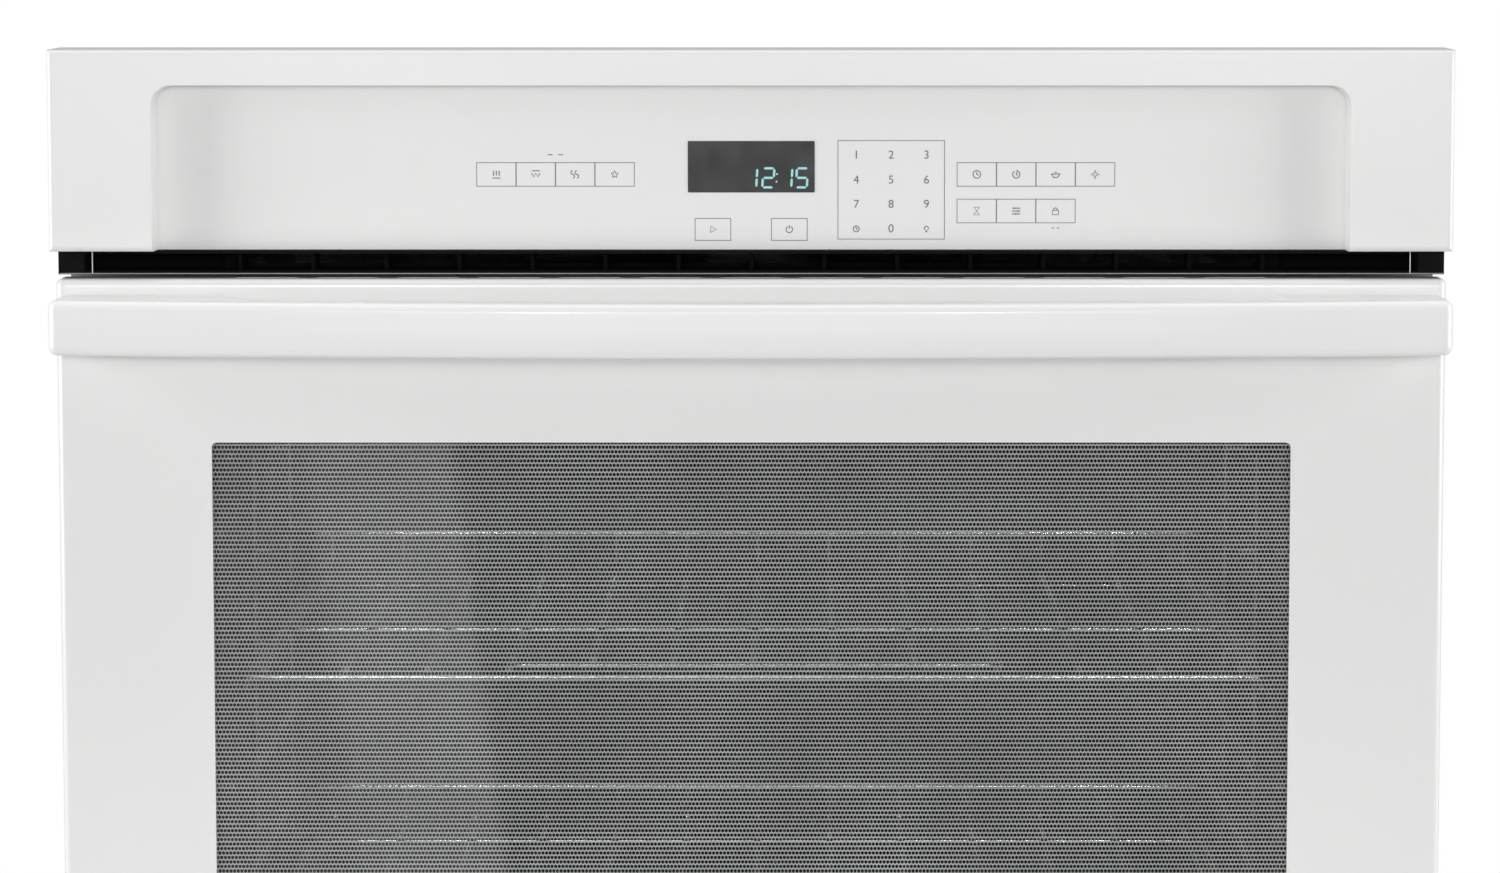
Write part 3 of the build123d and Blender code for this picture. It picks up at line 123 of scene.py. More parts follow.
# ---- materials ----
def white_finish(name, tone, rough, peel, coat):
    """Baked paint, white or grey: faint colour drift, orange peel and a clear gloss."""
    material, tree, shader = new_material(name)
    drift = noise(tree, 3.0, 4.0)
    shade = tuple(value * 0.965 for value in tone)
    colour = ramp(tree, drift, (0.3, shade), (0.7, tone))
    gloss = spread(tree, noise(tree, 55.0), rough - 0.05, rough + 0.07)
    finish_surface(tree, shader, colour, gloss)
    shader.inputs["Coat Weight"].default_value = coat
    shader.inputs["Coat Roughness"].default_value = 0.08
    bump(tree, shader, noise(tree, 420.0, 2.0), peel, 0.0002)
    return material


def speckled_enamel(name):
    """Dark porcelain enamel with fine pale flecks."""
    material, tree, shader = new_material(name)
    flecks = cells(tree, 420.0).outputs["Distance"]
    colour = ramp(tree, flecks, (0.0, (0.62, 0.66, 0.72)), (0.13, (0.30, 0.33, 0.38)),
                  (0.2, (0.035, 0.042, 0.055)), (1.0, (0.02, 0.025, 0.035)))
    finish_surface(tree, shader, colour, spread(tree, noise(tree, 40.0), 0.14, 0.26))
    shader.inputs["Coat Weight"].default_value = 0.6
    shader.inputs["Coat Roughness"].default_value = 0.05
    bump(tree, shader, noise(tree, 160.0, 3.0), 0.12)
    return material


def zinc(name, tone=(0.62, 0.64, 0.66)):
    """Galvanised sheet: pale crystals of differing gloss."""
    material, tree, shader = new_material(name)
    spangle = cells(tree, 90.0).outputs["Color"]
    grey = tree.nodes.new("ShaderNodeRGBToBW")
    tree.links.new(spangle, grey.inputs["Color"])
    low = tuple(value * 0.8 for value in tone)
    colour = ramp(tree, grey.outputs["Val"], (0.2, low), (0.8, tone))
    finish_surface(tree, shader, colour, spread(tree, grey.outputs["Val"], 0.28, 0.46))
    shader.inputs["Metallic"].default_value = 1.0
    bump(tree, shader, noise(tree, 300.0), 0.08)
    return material


def brushed(name, tone, rough=0.32, stretch=(4, 4, 260)):
    """Drawn or brushed metal with fine lines."""
    material, tree, shader = new_material(name)
    lines = noise(tree, 14.0, 6.0, 0.6, stretch)
    low = tuple(value * 0.78 for value in tone)
    colour = ramp(tree, lines, (0.3, low), (0.7, tone))
    finish_surface(tree, shader, colour, spread(tree, lines, rough - 0.07, rough + 0.1))
    shader.inputs["Metallic"].default_value = 1.0
    bump(tree, shader, lines, 0.1, 0.0001)
    return material


def chrome(name):
    """Bright plated wire with faint draw marks and a little tarnish."""
    material, tree, shader = new_material(name)
    film = noise(tree, 60.0, 4.0)
    colour = ramp(tree, film, (0.3, (0.84, 0.84, 0.84)), (0.7, (0.97, 0.97, 0.97)))
    finish_surface(tree, shader, colour, spread(tree, film, 0.12, 0.26))
    shader.inputs["Metallic"].default_value = 1.0
    return material


def moulded(name, tone, rough=0.5, grain=0.25, specular=0.5):
    """Moulded plastic with a fine spark-eroded grain."""
    material, tree, shader = new_material(name)
    shader.inputs["Specular IOR Level"].default_value = specular
    low = tuple(value * 0.8 for value in tone)
    colour = ramp(tree, noise(tree, 12.0, 4.0), (0.3, low), (0.7, tone))
    gloss = spread(tree, noise(tree, 70.0), rough - 0.08, rough + 0.08)
    finish_surface(tree, shader, colour, gloss)
    bump(tree, shader, noise(tree, 900.0, 2.0), grain, 0.0002)
    return material


def clear_glass(name, tint=(0.982, 0.986, 0.985)):
    """Float glass: it shows what is behind it and mirrors lights at its faces."""
    material, tree, shader = new_material(name)
    tree.nodes.remove(shader)
    through = tree.nodes.new("ShaderNodeBsdfTransparent")
    through.inputs["Color"].default_value = (*tint, 1)
    mirror = tree.nodes.new("ShaderNodeBsdfGlossy")
    edge = tree.nodes.new("ShaderNodeFresnel")
    edge.inputs["IOR"].default_value = 1.45
    smears = spread(tree, noise(tree, 18.0, 5.0), 0.015, 0.05)
    mix = tree.nodes.new("ShaderNodeMixShader")
    tree.links.new(smears, mirror.inputs["Roughness"])
    tree.links.new(edge.outputs["Fac"], mix.inputs["Fac"])
    tree.links.new(through.outputs["BSDF"], mix.inputs[1])
    tree.links.new(mirror.outputs["BSDF"], mix.inputs[2])
    tree.links.new(mix.outputs["Shader"], tree.nodes["Material Output"].inputs["Surface"])
    return material


def fibre(name, tone):
    """Matted mineral fibre."""
    material, tree, shader = new_material(name)
    strands = noise(tree, 60.0, 8.0, 0.75, (1, 1, 5))
    low = tuple(value * 0.55 for value in tone)
    colour = ramp(tree, strands, (0.3, low), (0.65, tone))
    finish_surface(tree, shader, colour, spread(tree, strands, 0.8, 1.0))
    bump(tree, shader, strands, 0.8, 0.002)
    return material


def braid(name):
    """Woven heat-proof braid of the door gasket."""
    material, tree, shader = new_material(name)
    weave = cells(tree, 520.0, "SMOOTH_F1", (1, 1, 0.6)).outputs["Distance"]
    colour = ramp(tree, weave, (0.1, (0.30, 0.30, 0.29)), (0.6, (0.08, 0.08, 0.08)))
    finish_surface(tree, shader, colour, spread(tree, weave, 0.7, 0.95))
    bump(tree, shader, weave, 0.6, 0.0006)
    return material


def heater_sheath(name):
    """Oxidised sheath of a heating element."""
    material, tree, shader = new_material(name)
    scale_marks = noise(tree, 90.0, 6.0, 0.7)
    colour = ramp(tree, scale_marks, (0.3, (0.03, 0.03, 0.032)), (0.55, (0.075, 0.07, 0.068)),
                  (0.8, (0.14, 0.12, 0.11)))
    finish_surface(tree, shader, colour, spread(tree, scale_marks, 0.45, 0.7))
    shader.inputs["Metallic"].default_value = 0.6
    bump(tree, shader, scale_marks, 0.3)
    return material


def circuit_board(name):
    """Green solder mask with paler tracks."""
    material, tree, shader = new_material(name)
    tracks = cells(tree, 160.0, "DISTANCE_TO_EDGE").outputs["Distance"]
    colour = ramp(tree, tracks, (0.0, (0.10, 0.34, 0.14)), (0.08, (0.10, 0.34, 0.14)),
                  (0.1, (0.02, 0.15, 0.06)), (1.0, (0.015, 0.12, 0.05)))
    finish_surface(tree, shader, colour, spread(tree, noise(tree, 30.0), 0.3, 0.45))
    bump(tree, shader, tracks, 0.2)
    return material


WHITE = (0.83, 0.83, 0.825)
# screen_black is pale on purpose: the photograph shows bright strands over dark gaps
MAKERS = {
    "door_white": lambda name: white_finish(name, WHITE, 0.22, 0.05, 0.5),
    "panel_white": lambda name: white_finish(name, WHITE, 0.30, 0.06, 0.25),
    "handle_white": lambda name: white_finish(name, (0.85, 0.85, 0.845), 0.30, 0.07, 0.3),
    "display_dark": lambda name: moulded(name, (0.030, 0.031, 0.033), 0.18, 0.02),
    # vent_black is near-black with a weak, dull gloss, darker than trim_black: the trims' own
    # black plastic deepened into painted shade of the deep vent gap
    "vent_black": lambda name: moulded(name, (0.004, 0.004, 0.004), 0.9, specular=0.15),
    "trim_black": lambda name: moulded(name, (0.02, 0.02, 0.021), 0.4, 0.1),
    "frame_grey": lambda name: white_finish(name, (0.32, 0.33, 0.34), 0.35, 0.1, 0.2),
    "zinc_sheet": zinc,
    "cavity_enamel": speckled_enamel,
    "liner_enamel": speckled_enamel,
    "chrome_wire": chrome,
    "element_sheath": heater_sheath,
    "clear_glass": clear_glass,
    "lamp_glass": lambda name: clear_glass(name, (0.97, 0.95, 0.90)),
    "screen_black": lambda name: moulded(name, (0.93, 0.93, 0.92), 0.5, 0.1),
    "frame_alloy": lambda name: brushed(name, (0.10, 0.10, 0.105), 0.5),
    "mineral_fibre": lambda name: fibre(name, (0.78, 0.68, 0.42)),
    "gasket_braid": braid,
    "hinge_steel": lambda name: zinc(name, (0.50, 0.50, 0.51)),
    "spring_steel": lambda name: brushed(name, (0.42, 0.42, 0.43), 0.28),
    "screw_steel": lambda name: brushed(name, (0.58, 0.58, 0.60), 0.3, (200, 4, 200)),
    "board_green": circuit_board,
    "motor_steel": lambda name: brushed(name, (0.40, 0.41, 0.43), 0.38),
    "wheel_alloy": lambda name: brushed(name, (0.66, 0.67, 0.69), 0.35),
    "switch_plastic": lambda name: moulded(name, (0.70, 0.70, 0.66), 0.5),
    "lamp_steel": zinc,
    "terminal_black": lambda name: moulded(name, (0.04, 0.04, 0.04), 0.5),
}
MATERIALS = {slot: make(slot) for slot, make in MAKERS.items()}

for node_name, node in frame["nodes"].items():
    node.data.materials.clear()
    node.data.materials.append(MATERIALS[SLOT_OF[node_name]])


# ---- mesh helpers ----
def add_object(name, data, slot, body, material=None):
    """A finished piece: it rides on a body and takes its finish from a record slot."""
    piece = bpy.data.objects.new(name, data)
    bpy.context.scene.collection.objects.link(piece)
    piece.data.materials.append(material or MATERIALS[slot])
    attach(piece, body)
    return piece


def mesh_from(name, points, faces):
    mesh = bpy.data.meshes.new(name)
    mesh.from_pydata(points, [], faces)
    mesh.update()
    return mesh


def face_outwards(mesh):
    """Turns every face of a closed mesh outwards."""
    repair = bmesh.new()
    repair.from_mesh(mesh)
    bmesh.ops.recalc_face_normals(repair, faces=repair.faces)
    repair.to_mesh(mesh)
    repair.free()


def stroke_curve(name, strokes, width, raise_share, depth_y):
    """Flat raised lines in an upright plane: strokes are (closed, [(x, z), ...])."""
    curve = bpy.data.curves.new(name, "CURVE")
    curve.dimensions = "3D"
    curve.bevel_depth = width / 2
    curve.bevel_resolution = 1
    for closed, points in strokes:
        spline = curve.splines.new("POLY")
        spline.points.add(len(points) - 1)
        for target, (x, z) in zip(spline.points, points):
            target.co = (x, depth_y / raise_share, z, 1)
        spline.use_cyclic_u = closed
    holder = bpy.data.objects.new(name, curve)
    mesh = bpy.data.meshes.new_from_object(holder)
    bpy.data.objects.remove(holder)
    for vertex in mesh.vertices:
        vertex.co.y *= raise_share
    return mesh


def arc(x, z, radius, start=0.0, end=360.0, steps=20):
    """Points round an arc in degrees, without the last point of a full circle."""
    count = steps if end - start >= 360 else steps + 1
    turns = [math.radians(start + (end - start) * i / steps) for i in range(count)]
    return [(x + radius * math.cos(turn), z + radius * math.sin(turn)) for turn in turns]


def box_outline(left, bottom, width, height):
    return (True, [(left, bottom), (left + width, bottom), (left + width, bottom + height),
                   (left, bottom + height)])


# ---- printed marks on the control panel ----
display_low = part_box("display_window")[0]
RECESS_Y = display_low.y + 0.3 * MM
INK_WIDTH = 0.62 * MM
INK_RAISE = 0.25

KEY_WIDTH = 21.5 * MM
KEY_HEIGHT = 12.9 * MM
KEY_LOW_Z = 655.2 * MM
LEFT_KEYS_X = -149.8 * MM
RIGHT_KEYS_X = 112.3 * MM
SECOND_KEYS_Z = 635.2 * MM
PAD_X = (47.3 * MM, 105.4 * MM)
PAD_Z = (626.3 * MM, 680.1 * MM)
PAD_COLUMNS = (57.3 * MM, 76.3 * MM, 95.6 * MM)
PAD_ROWS = (672.2 * MM, 658.6 * MM, 645.3 * MM, 631.9 * MM)
START_X = -30.7 * MM
CANCEL_X = 11.0 * MM
ACTION_Z = 625.6 * MM
ACTION_SIZE = (19.5 * MM, 12.0 * MM)
SYMBOL = 2.6 * MM
DASH_ABOVE = 4.3 * MM
DASH_BELOW = 2.8 * MM

MARKS = {
    "bake": [(False, [(-1, -0.9), (1, -0.9)]), (False, [(-0.7, -0.3), (-0.7, 0.9)]),
             (False, [(0, -0.3), (0, 0.9)]), (False, [(0.7, -0.3), (0.7, 0.9)])],
    "broil": [(False, [(-1, 0.9), (1, 0.9)]), (False, [(-1, 0.3), (-0.5, -0.6), (0, 0.3),
                                                       (0.5, -0.6), (1, 0.3)])],
    "warm": [(False, arc(-0.6, 0.45, 0.45, 90, 270, 8) + arc(-0.6, -0.45, 0.45, 90, -90, 8)),
             (False, arc(0.4, 0.45, 0.45, 90, 270, 8) + arc(0.4, -0.45, 0.45, 90, -90, 8))],
    "star": [(True, [(0.95 * r * math.sin(math.pi * i / 5), 0.95 * r * math.cos(math.pi * i / 5))
                     for i, r in enumerate((1, 0.45) * 5)])],
    "clock": [(True, arc(0, 0, 0.95)), (False, [(0, 0.6), (0, 0), (0.45, -0.2)])],
    "delay": [(False, arc(0, 0, 0.9, -240, 60)), (False, [(0.1, 1.15), (0.45, 0.78), (0, 0.5)]),
              (False, [(0, 0.4), (0, -0.1), (0.4, -0.1)])],
    "dish": [(False, [(-1.2, 0.1), (1.2, 0.1)]), (False, arc(0, 0.1, 0.9, 180, 360, 12)),
             (False, [(-0.3, 0.5), (0.3, 0.5)])],
    "sparkle": [(True, [(0, 1.1), (0.25, 0.25), (1.1, 0), (0.25, -0.25), (0, -1.1), (-0.25, -0.25),
                        (-1.1, 0), (-0.25, 0.25)])],
    "timer": [(True, [(-0.7, 0.95), (0.7, 0.95), (-0.7, -0.95), (0.7, -0.95)])],
    "sliders": [(False, [(-1, z), (1, z)]) for z in (0.7, 0, -0.7)]
               + [(False, [(x, z - 0.22), (x, z + 0.22)]) for x, z in
                  ((-0.4, 0.7), (0.5, 0), (-0.1, -0.7))],
    "lock": [(True, [(-0.75, -0.9), (0.75, -0.9), (0.75, 0.15), (-0.75, 0.15)]),
             (False, arc(0, 0.25, 0.5, 0, 180, 10))],
    "play": [(True, [(-0.6, -0.8), (0.85, 0), (-0.6, 0.8)])],
    "stop": [(False, arc(0, 0, 0.85, 120, 420, 16)), (False, [(0, 0.2), (0, 1.1)])],
    "light": [(False, arc(0, 0.2, 0.65, -50, 230, 14)), (False, [(-0.35, -0.65), (0.35, -0.65)]),
              (False, [(-0.25, -0.95), (0.25, -0.95)])],
    "dash": [(False, [(-1.6, 0), (-0.6, 0)]), (False, [(0.6, 0), (1.6, 0)])],
}


def mark(name, x, z, size=SYMBOL):
    """The strokes of one symbol, centred at x, z."""
    return [(closed, [(x + px * size / 2, z + pz * size / 2) for px, pz in points])
            for closed, points in MARKS[name]]


def key_row(left, bottom, names):
    """A row of joined key outlines with a symbol in each."""
    strokes = [box_outline(left, bottom, KEY_WIDTH * len(names), KEY_HEIGHT)]
    for i, name in enumerate(names):
        if i:
            x = left + i * KEY_WIDTH
            strokes.append((False, [(x, bottom), (x, bottom + KEY_HEIGHT)]))
        strokes += mark(name, left + (i + 0.5) * KEY_WIDTH, bottom + KEY_HEIGHT / 2, SYMBOL * 1.7)
    return strokes


def panel_strokes():
    outlines = key_row(LEFT_KEYS_X, KEY_LOW_Z, ("bake", "broil", "warm", "star"))
    outlines += key_row(RIGHT_KEYS_X, KEY_LOW_Z, ("clock", "delay", "dish", "sparkle"))
    outlines += key_row(RIGHT_KEYS_X, SECOND_KEYS_Z, ("timer", "sliders", "lock"))
    outlines.append(box_outline(PAD_X[0], PAD_Z[0], PAD_X[1] - PAD_X[0], PAD_Z[1] - PAD_Z[0]))
    for left, name in ((START_X, "play"), (CANCEL_X, "stop")):
        outlines.append(box_outline(left, ACTION_Z, *ACTION_SIZE))
        outlines += mark(name, left + ACTION_SIZE[0] / 2, ACTION_Z + ACTION_SIZE[1] / 2,
                         SYMBOL * 1.6)
    outlines += mark("clock", PAD_COLUMNS[0], PAD_ROWS[3], SYMBOL * 1.3)
    outlines += mark("light", PAD_COLUMNS[2], PAD_ROWS[3], SYMBOL * 1.3)
    outlines += mark("dash", LEFT_KEYS_X + 2 * KEY_WIDTH, KEY_LOW_Z + KEY_HEIGHT + DASH_ABOVE,
                     SYMBOL * 2)
    outlines += mark("dash", RIGHT_KEYS_X + 2.5 * KEY_WIDTH, SECOND_KEYS_Z - DASH_BELOW, SYMBOL)
    return outlines


def ink(name):
    """Grey screen-printed ink with a slightly broken edge tone."""
    material, tree, shader = new_material(name)
    grain = noise(tree, 900.0, 3.0)
    colour = ramp(tree, grain, (0.3, (0.13, 0.13, 0.13)), (0.7, (0.19, 0.19, 0.19)))
    finish_surface(tree, shader, colour, spread(tree, grain, 0.5, 0.7))
    return material


INK = ink("printed_ink")
add_object("key_marks", stroke_curve("key_marks", panel_strokes(), INK_WIDTH, INK_RAISE, RECESS_Y),
           "panel_white", "oven_body", INK)


DIGIT_SIZE = 6.4 * MM
DIGIT_RAISE = 0.06 * MM


def digit_mesh(text, x, z):
    """A printed digit, centred at x, z, as a thin raised mesh."""
    font = bpy.data.curves.new("digit_" + text, "FONT")
    font.body = text
    font.align_x = "CENTER"
    font.align_y = "CENTER"
    font.size = DIGIT_SIZE
    font.extrude = DIGIT_RAISE
    holder = bpy.data.objects.new("digit_" + text, font)
    mesh = bpy.data.meshes.new_from_object(holder)
    bpy.data.objects.remove(holder)
    for vertex in mesh.vertices:
        across, up, out = vertex.co
        vertex.co = (x + across, RECESS_Y - out, z + up)
    mesh.flip_normals()
    return mesh


for number in range(10):
    row, column = ((number - 1) // 3, (number - 1) % 3) if number else (3, 1)
    text = str(number)
    add_object("keypad_digit_" + text, digit_mesh(text, PAD_COLUMNS[column], PAD_ROWS[row]),
               "panel_white", "oven_body", INK)

# ---- seven-segment clock behind the display window ----
SEGMENTS = {"1": "bc", "2": "abged", "5": "afgcd"}
CLOCK_HEIGHT = 10.4 * MM
CLOCK_WIDTH = 6.0 * MM
CLOCK_LOW_Z = 654.6 * MM
SEGMENT_THICK = 1.25 * MM
CLOCK_PLACES = (("1", -3.3 * MM), ("2", 6.0 * MM), ("1", 15.8 * MM), ("5", 24.3 * MM))
COLON_X = 13.6 * MM
CLOCK_SLANT = 0.06
SEGMENT_GAP = 0.22 * MM
SEGMENT_RAISE = 0.12 * MM
COLON_DOT = 0.55 * MM


def segment(start, end):
    """A pointed bar from start to end, as six corners."""
    along = Vector(end) - Vector(start)
    side = Vector((-along.y, along.x)).normalized() * SEGMENT_THICK / 2
    tip = along.normalized() * SEGMENT_THICK * 0.55
    a, b = Vector(start), Vector(end)
    return [a, a + tip + side, b - tip + side, b, b - tip - side, a + tip - side]


def clock_mesh():
    """Lit bars and the colon's two dots, as closed six-sided and round prisms."""
    shapes = []
    half = CLOCK_HEIGHT / 2
    for text, left in CLOCK_PLACES:
        right = left + CLOCK_WIDTH
        ends = {
            "a": ((left + SEGMENT_GAP, 2 * half), (right - SEGMENT_GAP, 2 * half)),
            "g": ((left + SEGMENT_GAP, half), (right - SEGMENT_GAP, half)),
            "d": ((left + SEGMENT_GAP, 0), (right - SEGMENT_GAP, 0)),
            "f": ((left, half + SEGMENT_GAP), (left, 2 * half - SEGMENT_GAP)),
            "b": ((right, half + SEGMENT_GAP), (right, 2 * half - SEGMENT_GAP)),
            "e": ((left, SEGMENT_GAP), (left, half - SEGMENT_GAP)),
            "c": ((right, SEGMENT_GAP), (right, half - SEGMENT_GAP)),
        }
        shapes += [segment(*ends[letter]) for letter in SEGMENTS[text]]
    for height in (0.3, 0.7):
        dot = arc(COLON_X, CLOCK_HEIGHT * height, COLON_DOT, steps=12)
        shapes.append([Vector(p) for p in dot])
    front = display_low.y - SEGMENT_RAISE
    points, faces = [], []
    for shape in shapes:
        base, count = len(points), len(shape)
        for depth in (front, display_low.y):
            points += [(p.x + p.y * CLOCK_SLANT, depth, CLOCK_LOW_Z + p.y) for p in shape]
        faces.append([base + i for i in range(count)])
        faces.append([base + count + i for i in reversed(range(count))])
        for i in range(count):
            j = (i + 1) % count
            faces.append([base + j, base + i, base + count + i, base + count + j])
    mesh = mesh_from("clock_segments", points, faces)
    face_outwards(mesh)
    return mesh


def glowing(name, tone, strength):
    """Lit display segments with a slight unevenness."""
    material, tree, shader = new_material(name)
    glow = ramp(tree, noise(tree, 700.0), (0.2, tuple(v * 0.8 for v in tone)), (0.8, tone))
    tree.links.new(glow, shader.inputs["Emission Color"])
    shader.inputs["Emission Strength"].default_value = strength
    shader.inputs["Base Color"].default_value = (0.05, 0.1, 0.1, 1)
    shader.inputs["Roughness"].default_value = 0.6
    return material


add_object("clock_segments", clock_mesh(), "display_dark", "oven_body",
           glowing("display_glow", (0.38, 0.78, 0.80), 0.85))

# ---- window screen: a fine pierced sheet of zigzag strands and ties ----
screen_low, screen_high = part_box("window_screen")
GLASS_LIP = 17.0 * MM
SCREEN_PITCH_X = 2.0 * MM
SCREEN_PITCH_Z = 2.5 * MM
STRAND = 1.00 * MM
STRAND_SWING = 0.34 * MM
TIE = 0.30 * MM
SCREEN_LEFT = screen_low.x + GLASS_LIP
SCREEN_STEPS = int((screen_high.x - screen_low.x - 2 * GLASS_LIP) / (SCREEN_PITCH_X / 2))
SCREEN_BOTTOM = screen_low.z + GLASS_LIP
SCREEN_ROWS = int((screen_high.z - screen_low.z - 2 * GLASS_LIP) / SCREEN_PITCH_Z)


def screen_mesh(name, rows):
    """Flat strands that zigzag across the window, tied to the strand below at each low point."""
    y = (screen_low.y + screen_high.y) / 2
    points, faces = [], []
    for row in rows:
        z = SCREEN_BOTTOM + (row + 0.5) * SCREEN_PITCH_Z
        base = len(points)
        for i in range(SCREEN_STEPS + 1):
            x = SCREEN_LEFT + i * SCREEN_PITCH_X / 2
            swing = STRAND_SWING if (i + row) % 2 else -STRAND_SWING
            points += [(x, y, z + swing - STRAND / 2), (x, y, z + swing + STRAND / 2)]
        for i in range(SCREEN_STEPS):
            a = base + 2 * i
            faces.append((a, a + 2, a + 3, a + 1))
        top = z - STRAND_SWING - STRAND / 2
        foot = top - SCREEN_PITCH_Z + 2 * STRAND_SWING + STRAND
        for i in range(row % 2, SCREEN_STEPS + 1 if row else 0, 2):
            x = SCREEN_LEFT + i * SCREEN_PITCH_X / 2
            a = len(points)
            points += [(x - TIE / 2, y, foot), (x + TIE / 2, y, foot),
                       (x + TIE / 2, y, top), (x - TIE / 2, y, top)]
            faces.append((a, a + 1, a + 2, a + 3))
    return mesh_from(name, points, faces)


for half_name, rows in (("window_screen_lower", range(SCREEN_ROWS // 2)),
                        ("window_screen_upper", range(SCREEN_ROWS // 2, SCREEN_ROWS))):
    half = add_object(half_name, screen_mesh(half_name, rows), "screen_black", "door")
    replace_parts(half, "window_screen")

# ---- handle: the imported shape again, with its bow drawn smoothly ----
handle_low, handle_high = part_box("door_handle")
HANDLE_ROUND = 5.0 * MM
HANDLE_BACK_ROUND = 0.8 * MM
HANDLE_BAR = 18.0 * MM
HANDLE_END_SETBACK = 27.0 * MM    # ends of the front face behind its middle
HANDLE_FOOT = 80.0 * MM
HANDLE_BLEND = 34.0 * MM
HANDLE_STATION = 12.0 * MM
HANDLE_LEAST_ROUND = 0.02 * MM
BLEND_STEPS = 16
FOOT_STEPS = 8
handle_half = handle_high.x
bow_radius = (handle_half ** 2 + HANDLE_END_SETBACK ** 2) / (2 * HANDLE_END_SETBACK)
foot_x = handle_half - HANDLE_FOOT
bar_x = foot_x - HANDLE_BLEND


def bow(x):
    """Depth of the handle's front face at x."""
    return handle_low.y + bow_radius - math.sqrt(bow_radius ** 2 - x ** 2)


def handle_back(x):
    """Depth of the handle's back: door face at the feet, a smooth curve, then the bar."""
    if abs(x) >= foot_x:
        return handle_high.y
    if abs(x) <= bar_x:
        return bow(x) + HANDLE_BAR
    share = (foot_x - abs(x)) / HANDLE_BLEND
    end = bow(bar_x) + HANDLE_BAR
    slope = -bar_x / math.sqrt(bow_radius ** 2 - bar_x ** 2) * HANDLE_BLEND
    keep = 1 - 3 * share ** 2 + 2 * share ** 3
    return handle_high.y * keep + end * (1 - keep) + slope * (share ** 3 - share ** 2)


def handle_section(x):
    """Closed outline of the handle across its length at x, rounded more towards each end."""
    along = max(0.0, (abs(x) - (handle_half - HANDLE_ROUND)) / HANDLE_ROUND)
    keep = math.sqrt(max(0.0, 1 - min(along, 1.0) ** 2))
    inset = HANDLE_ROUND * (1 - keep)
    radius = max(HANDLE_ROUND * keep, HANDLE_LEAST_ROUND)
    front = bow(min(abs(x), handle_half - HANDLE_ROUND)) + inset
    low, high = handle_low.z + inset, handle_high.z - inset
    back = handle_back(x)
    outline = []
    corners = ((front, high, radius, 90, 8), (front, low, radius, 180, 8),
               (back, low, HANDLE_BACK_ROUND, 270, 3), (back, high, HANDLE_BACK_ROUND, 0, 3))
    for y, z, corner, start, steps in corners:
        centre_y = y + corner if y == front else y - corner
        centre_z = z - corner if z == high else z + corner
        outline += arc(centre_y, centre_z, corner, start, start + 90, steps)
    return outline


def handle_mesh():
    end_zone = [handle_half - HANDLE_ROUND * (1 - math.sin(math.radians(a)))
                for a in range(0, 91, 10)]
    stations = [i * HANDLE_STATION for i in range(int(bar_x / HANDLE_STATION) + 1)]
    stations += [bar_x + i * HANDLE_BLEND / BLEND_STEPS for i in range(BLEND_STEPS + 1)]
    stations += [foot_x + i * (HANDLE_FOOT - HANDLE_ROUND) / FOOT_STEPS
                 for i in range(1, FOOT_STEPS)]
    stations += end_zone
    stations = [-x for x in reversed(stations[1:])] + stations
    points, faces = [], []
    for x in stations:
        outline = handle_section(x)
        ring = len(outline)
        points += [(x, y, z) for y, z in outline]
    for i in range(len(stations) - 1):
        for j in range(ring):
            k = (j + 1) % ring
            a, b = i * ring, (i + 1) * ring
            faces.append((a + j, b + j, b + k, a + k))
    faces.append(tuple(range(ring)))
    faces.append(tuple(reversed(range((len(stations) - 1) * ring, len(stations) * ring))))
    mesh = mesh_from("bowed_handle", points, faces)
    face_outwards(mesh)
    mesh.shade_smooth()
    mesh.set_sharp_from_angle(angle=math.radians(40))
    return mesh


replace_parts(add_object("bowed_handle", handle_mesh(), "handle_white", "door"), "door_handle")

# ---- vent gap: bright edges of the side brackets, a painted highlight on the trim's lower edge, black bars of painted shade ----
vent_low, vent_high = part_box("vent_trim")
BRACKET_X = 359.4 * MM
BRACKET_WIDTH = 0.45 * MM
AIR_SLOT_END = 290.0 * MM
END_RIB = 8.0 * MM
END_RIB_DEPTH = 14.0 * MM
BACK_LIP_DEPTH = 3.0 * MM
FROM_BACK = 0.3 * MM
FROM_FLOOR = 0.6 * MM
FROM_ROOF = 0.1 * MM
EASED_EDGE = 0.08 * MM
BRACKET_PROUD = 0.4 * MM
BRACKET_DEPTH = 0.6 * MM
LIP_WIDTH = 0.62 * MM
LIP_RAISE = 0.6
LIP_HEIGHT = 0.5 * MM
LIP_PROUD = 0.15 * MM
LIP_END_INSET = 0.6 * MM
BACK_LIP = 3.4 * MM               # hides the front frame's edge below the air slot


def bar_mesh(name, xs, ys, zs):
    """A small bar with eased edges between pairs of limits."""
    bar = bmesh.new()
    bmesh.ops.create_cube(bar, size=1)
    for vertex in bar.verts:
        vertex.co = [pair[0] if value < 0 else pair[1]
                     for value, pair in zip(vertex.co, (xs, ys, zs))]
    bmesh.ops.bevel(bar, geom=list(bar.edges), offset=EASED_EDGE, segments=2, affect="EDGES")
    bmesh.ops.recalc_face_normals(bar, faces=bar.faces)
    mesh = bpy.data.meshes.new(name)
    bar.to_mesh(mesh)
    bar.free()
    return mesh


def lip_mesh(name):
    """The lower edge of the vent trim: a thin grey bar with eased corners, a painted highlight on
    the black trim's edge.
    """
    half, z = vent_high.x - LIP_END_INSET, vent_low.z + LIP_HEIGHT
    return stroke_curve(name, [(False, [(-half, z), (half, z)])], LIP_WIDTH, LIP_RAISE,
                        vent_low.y - LIP_PROUD)
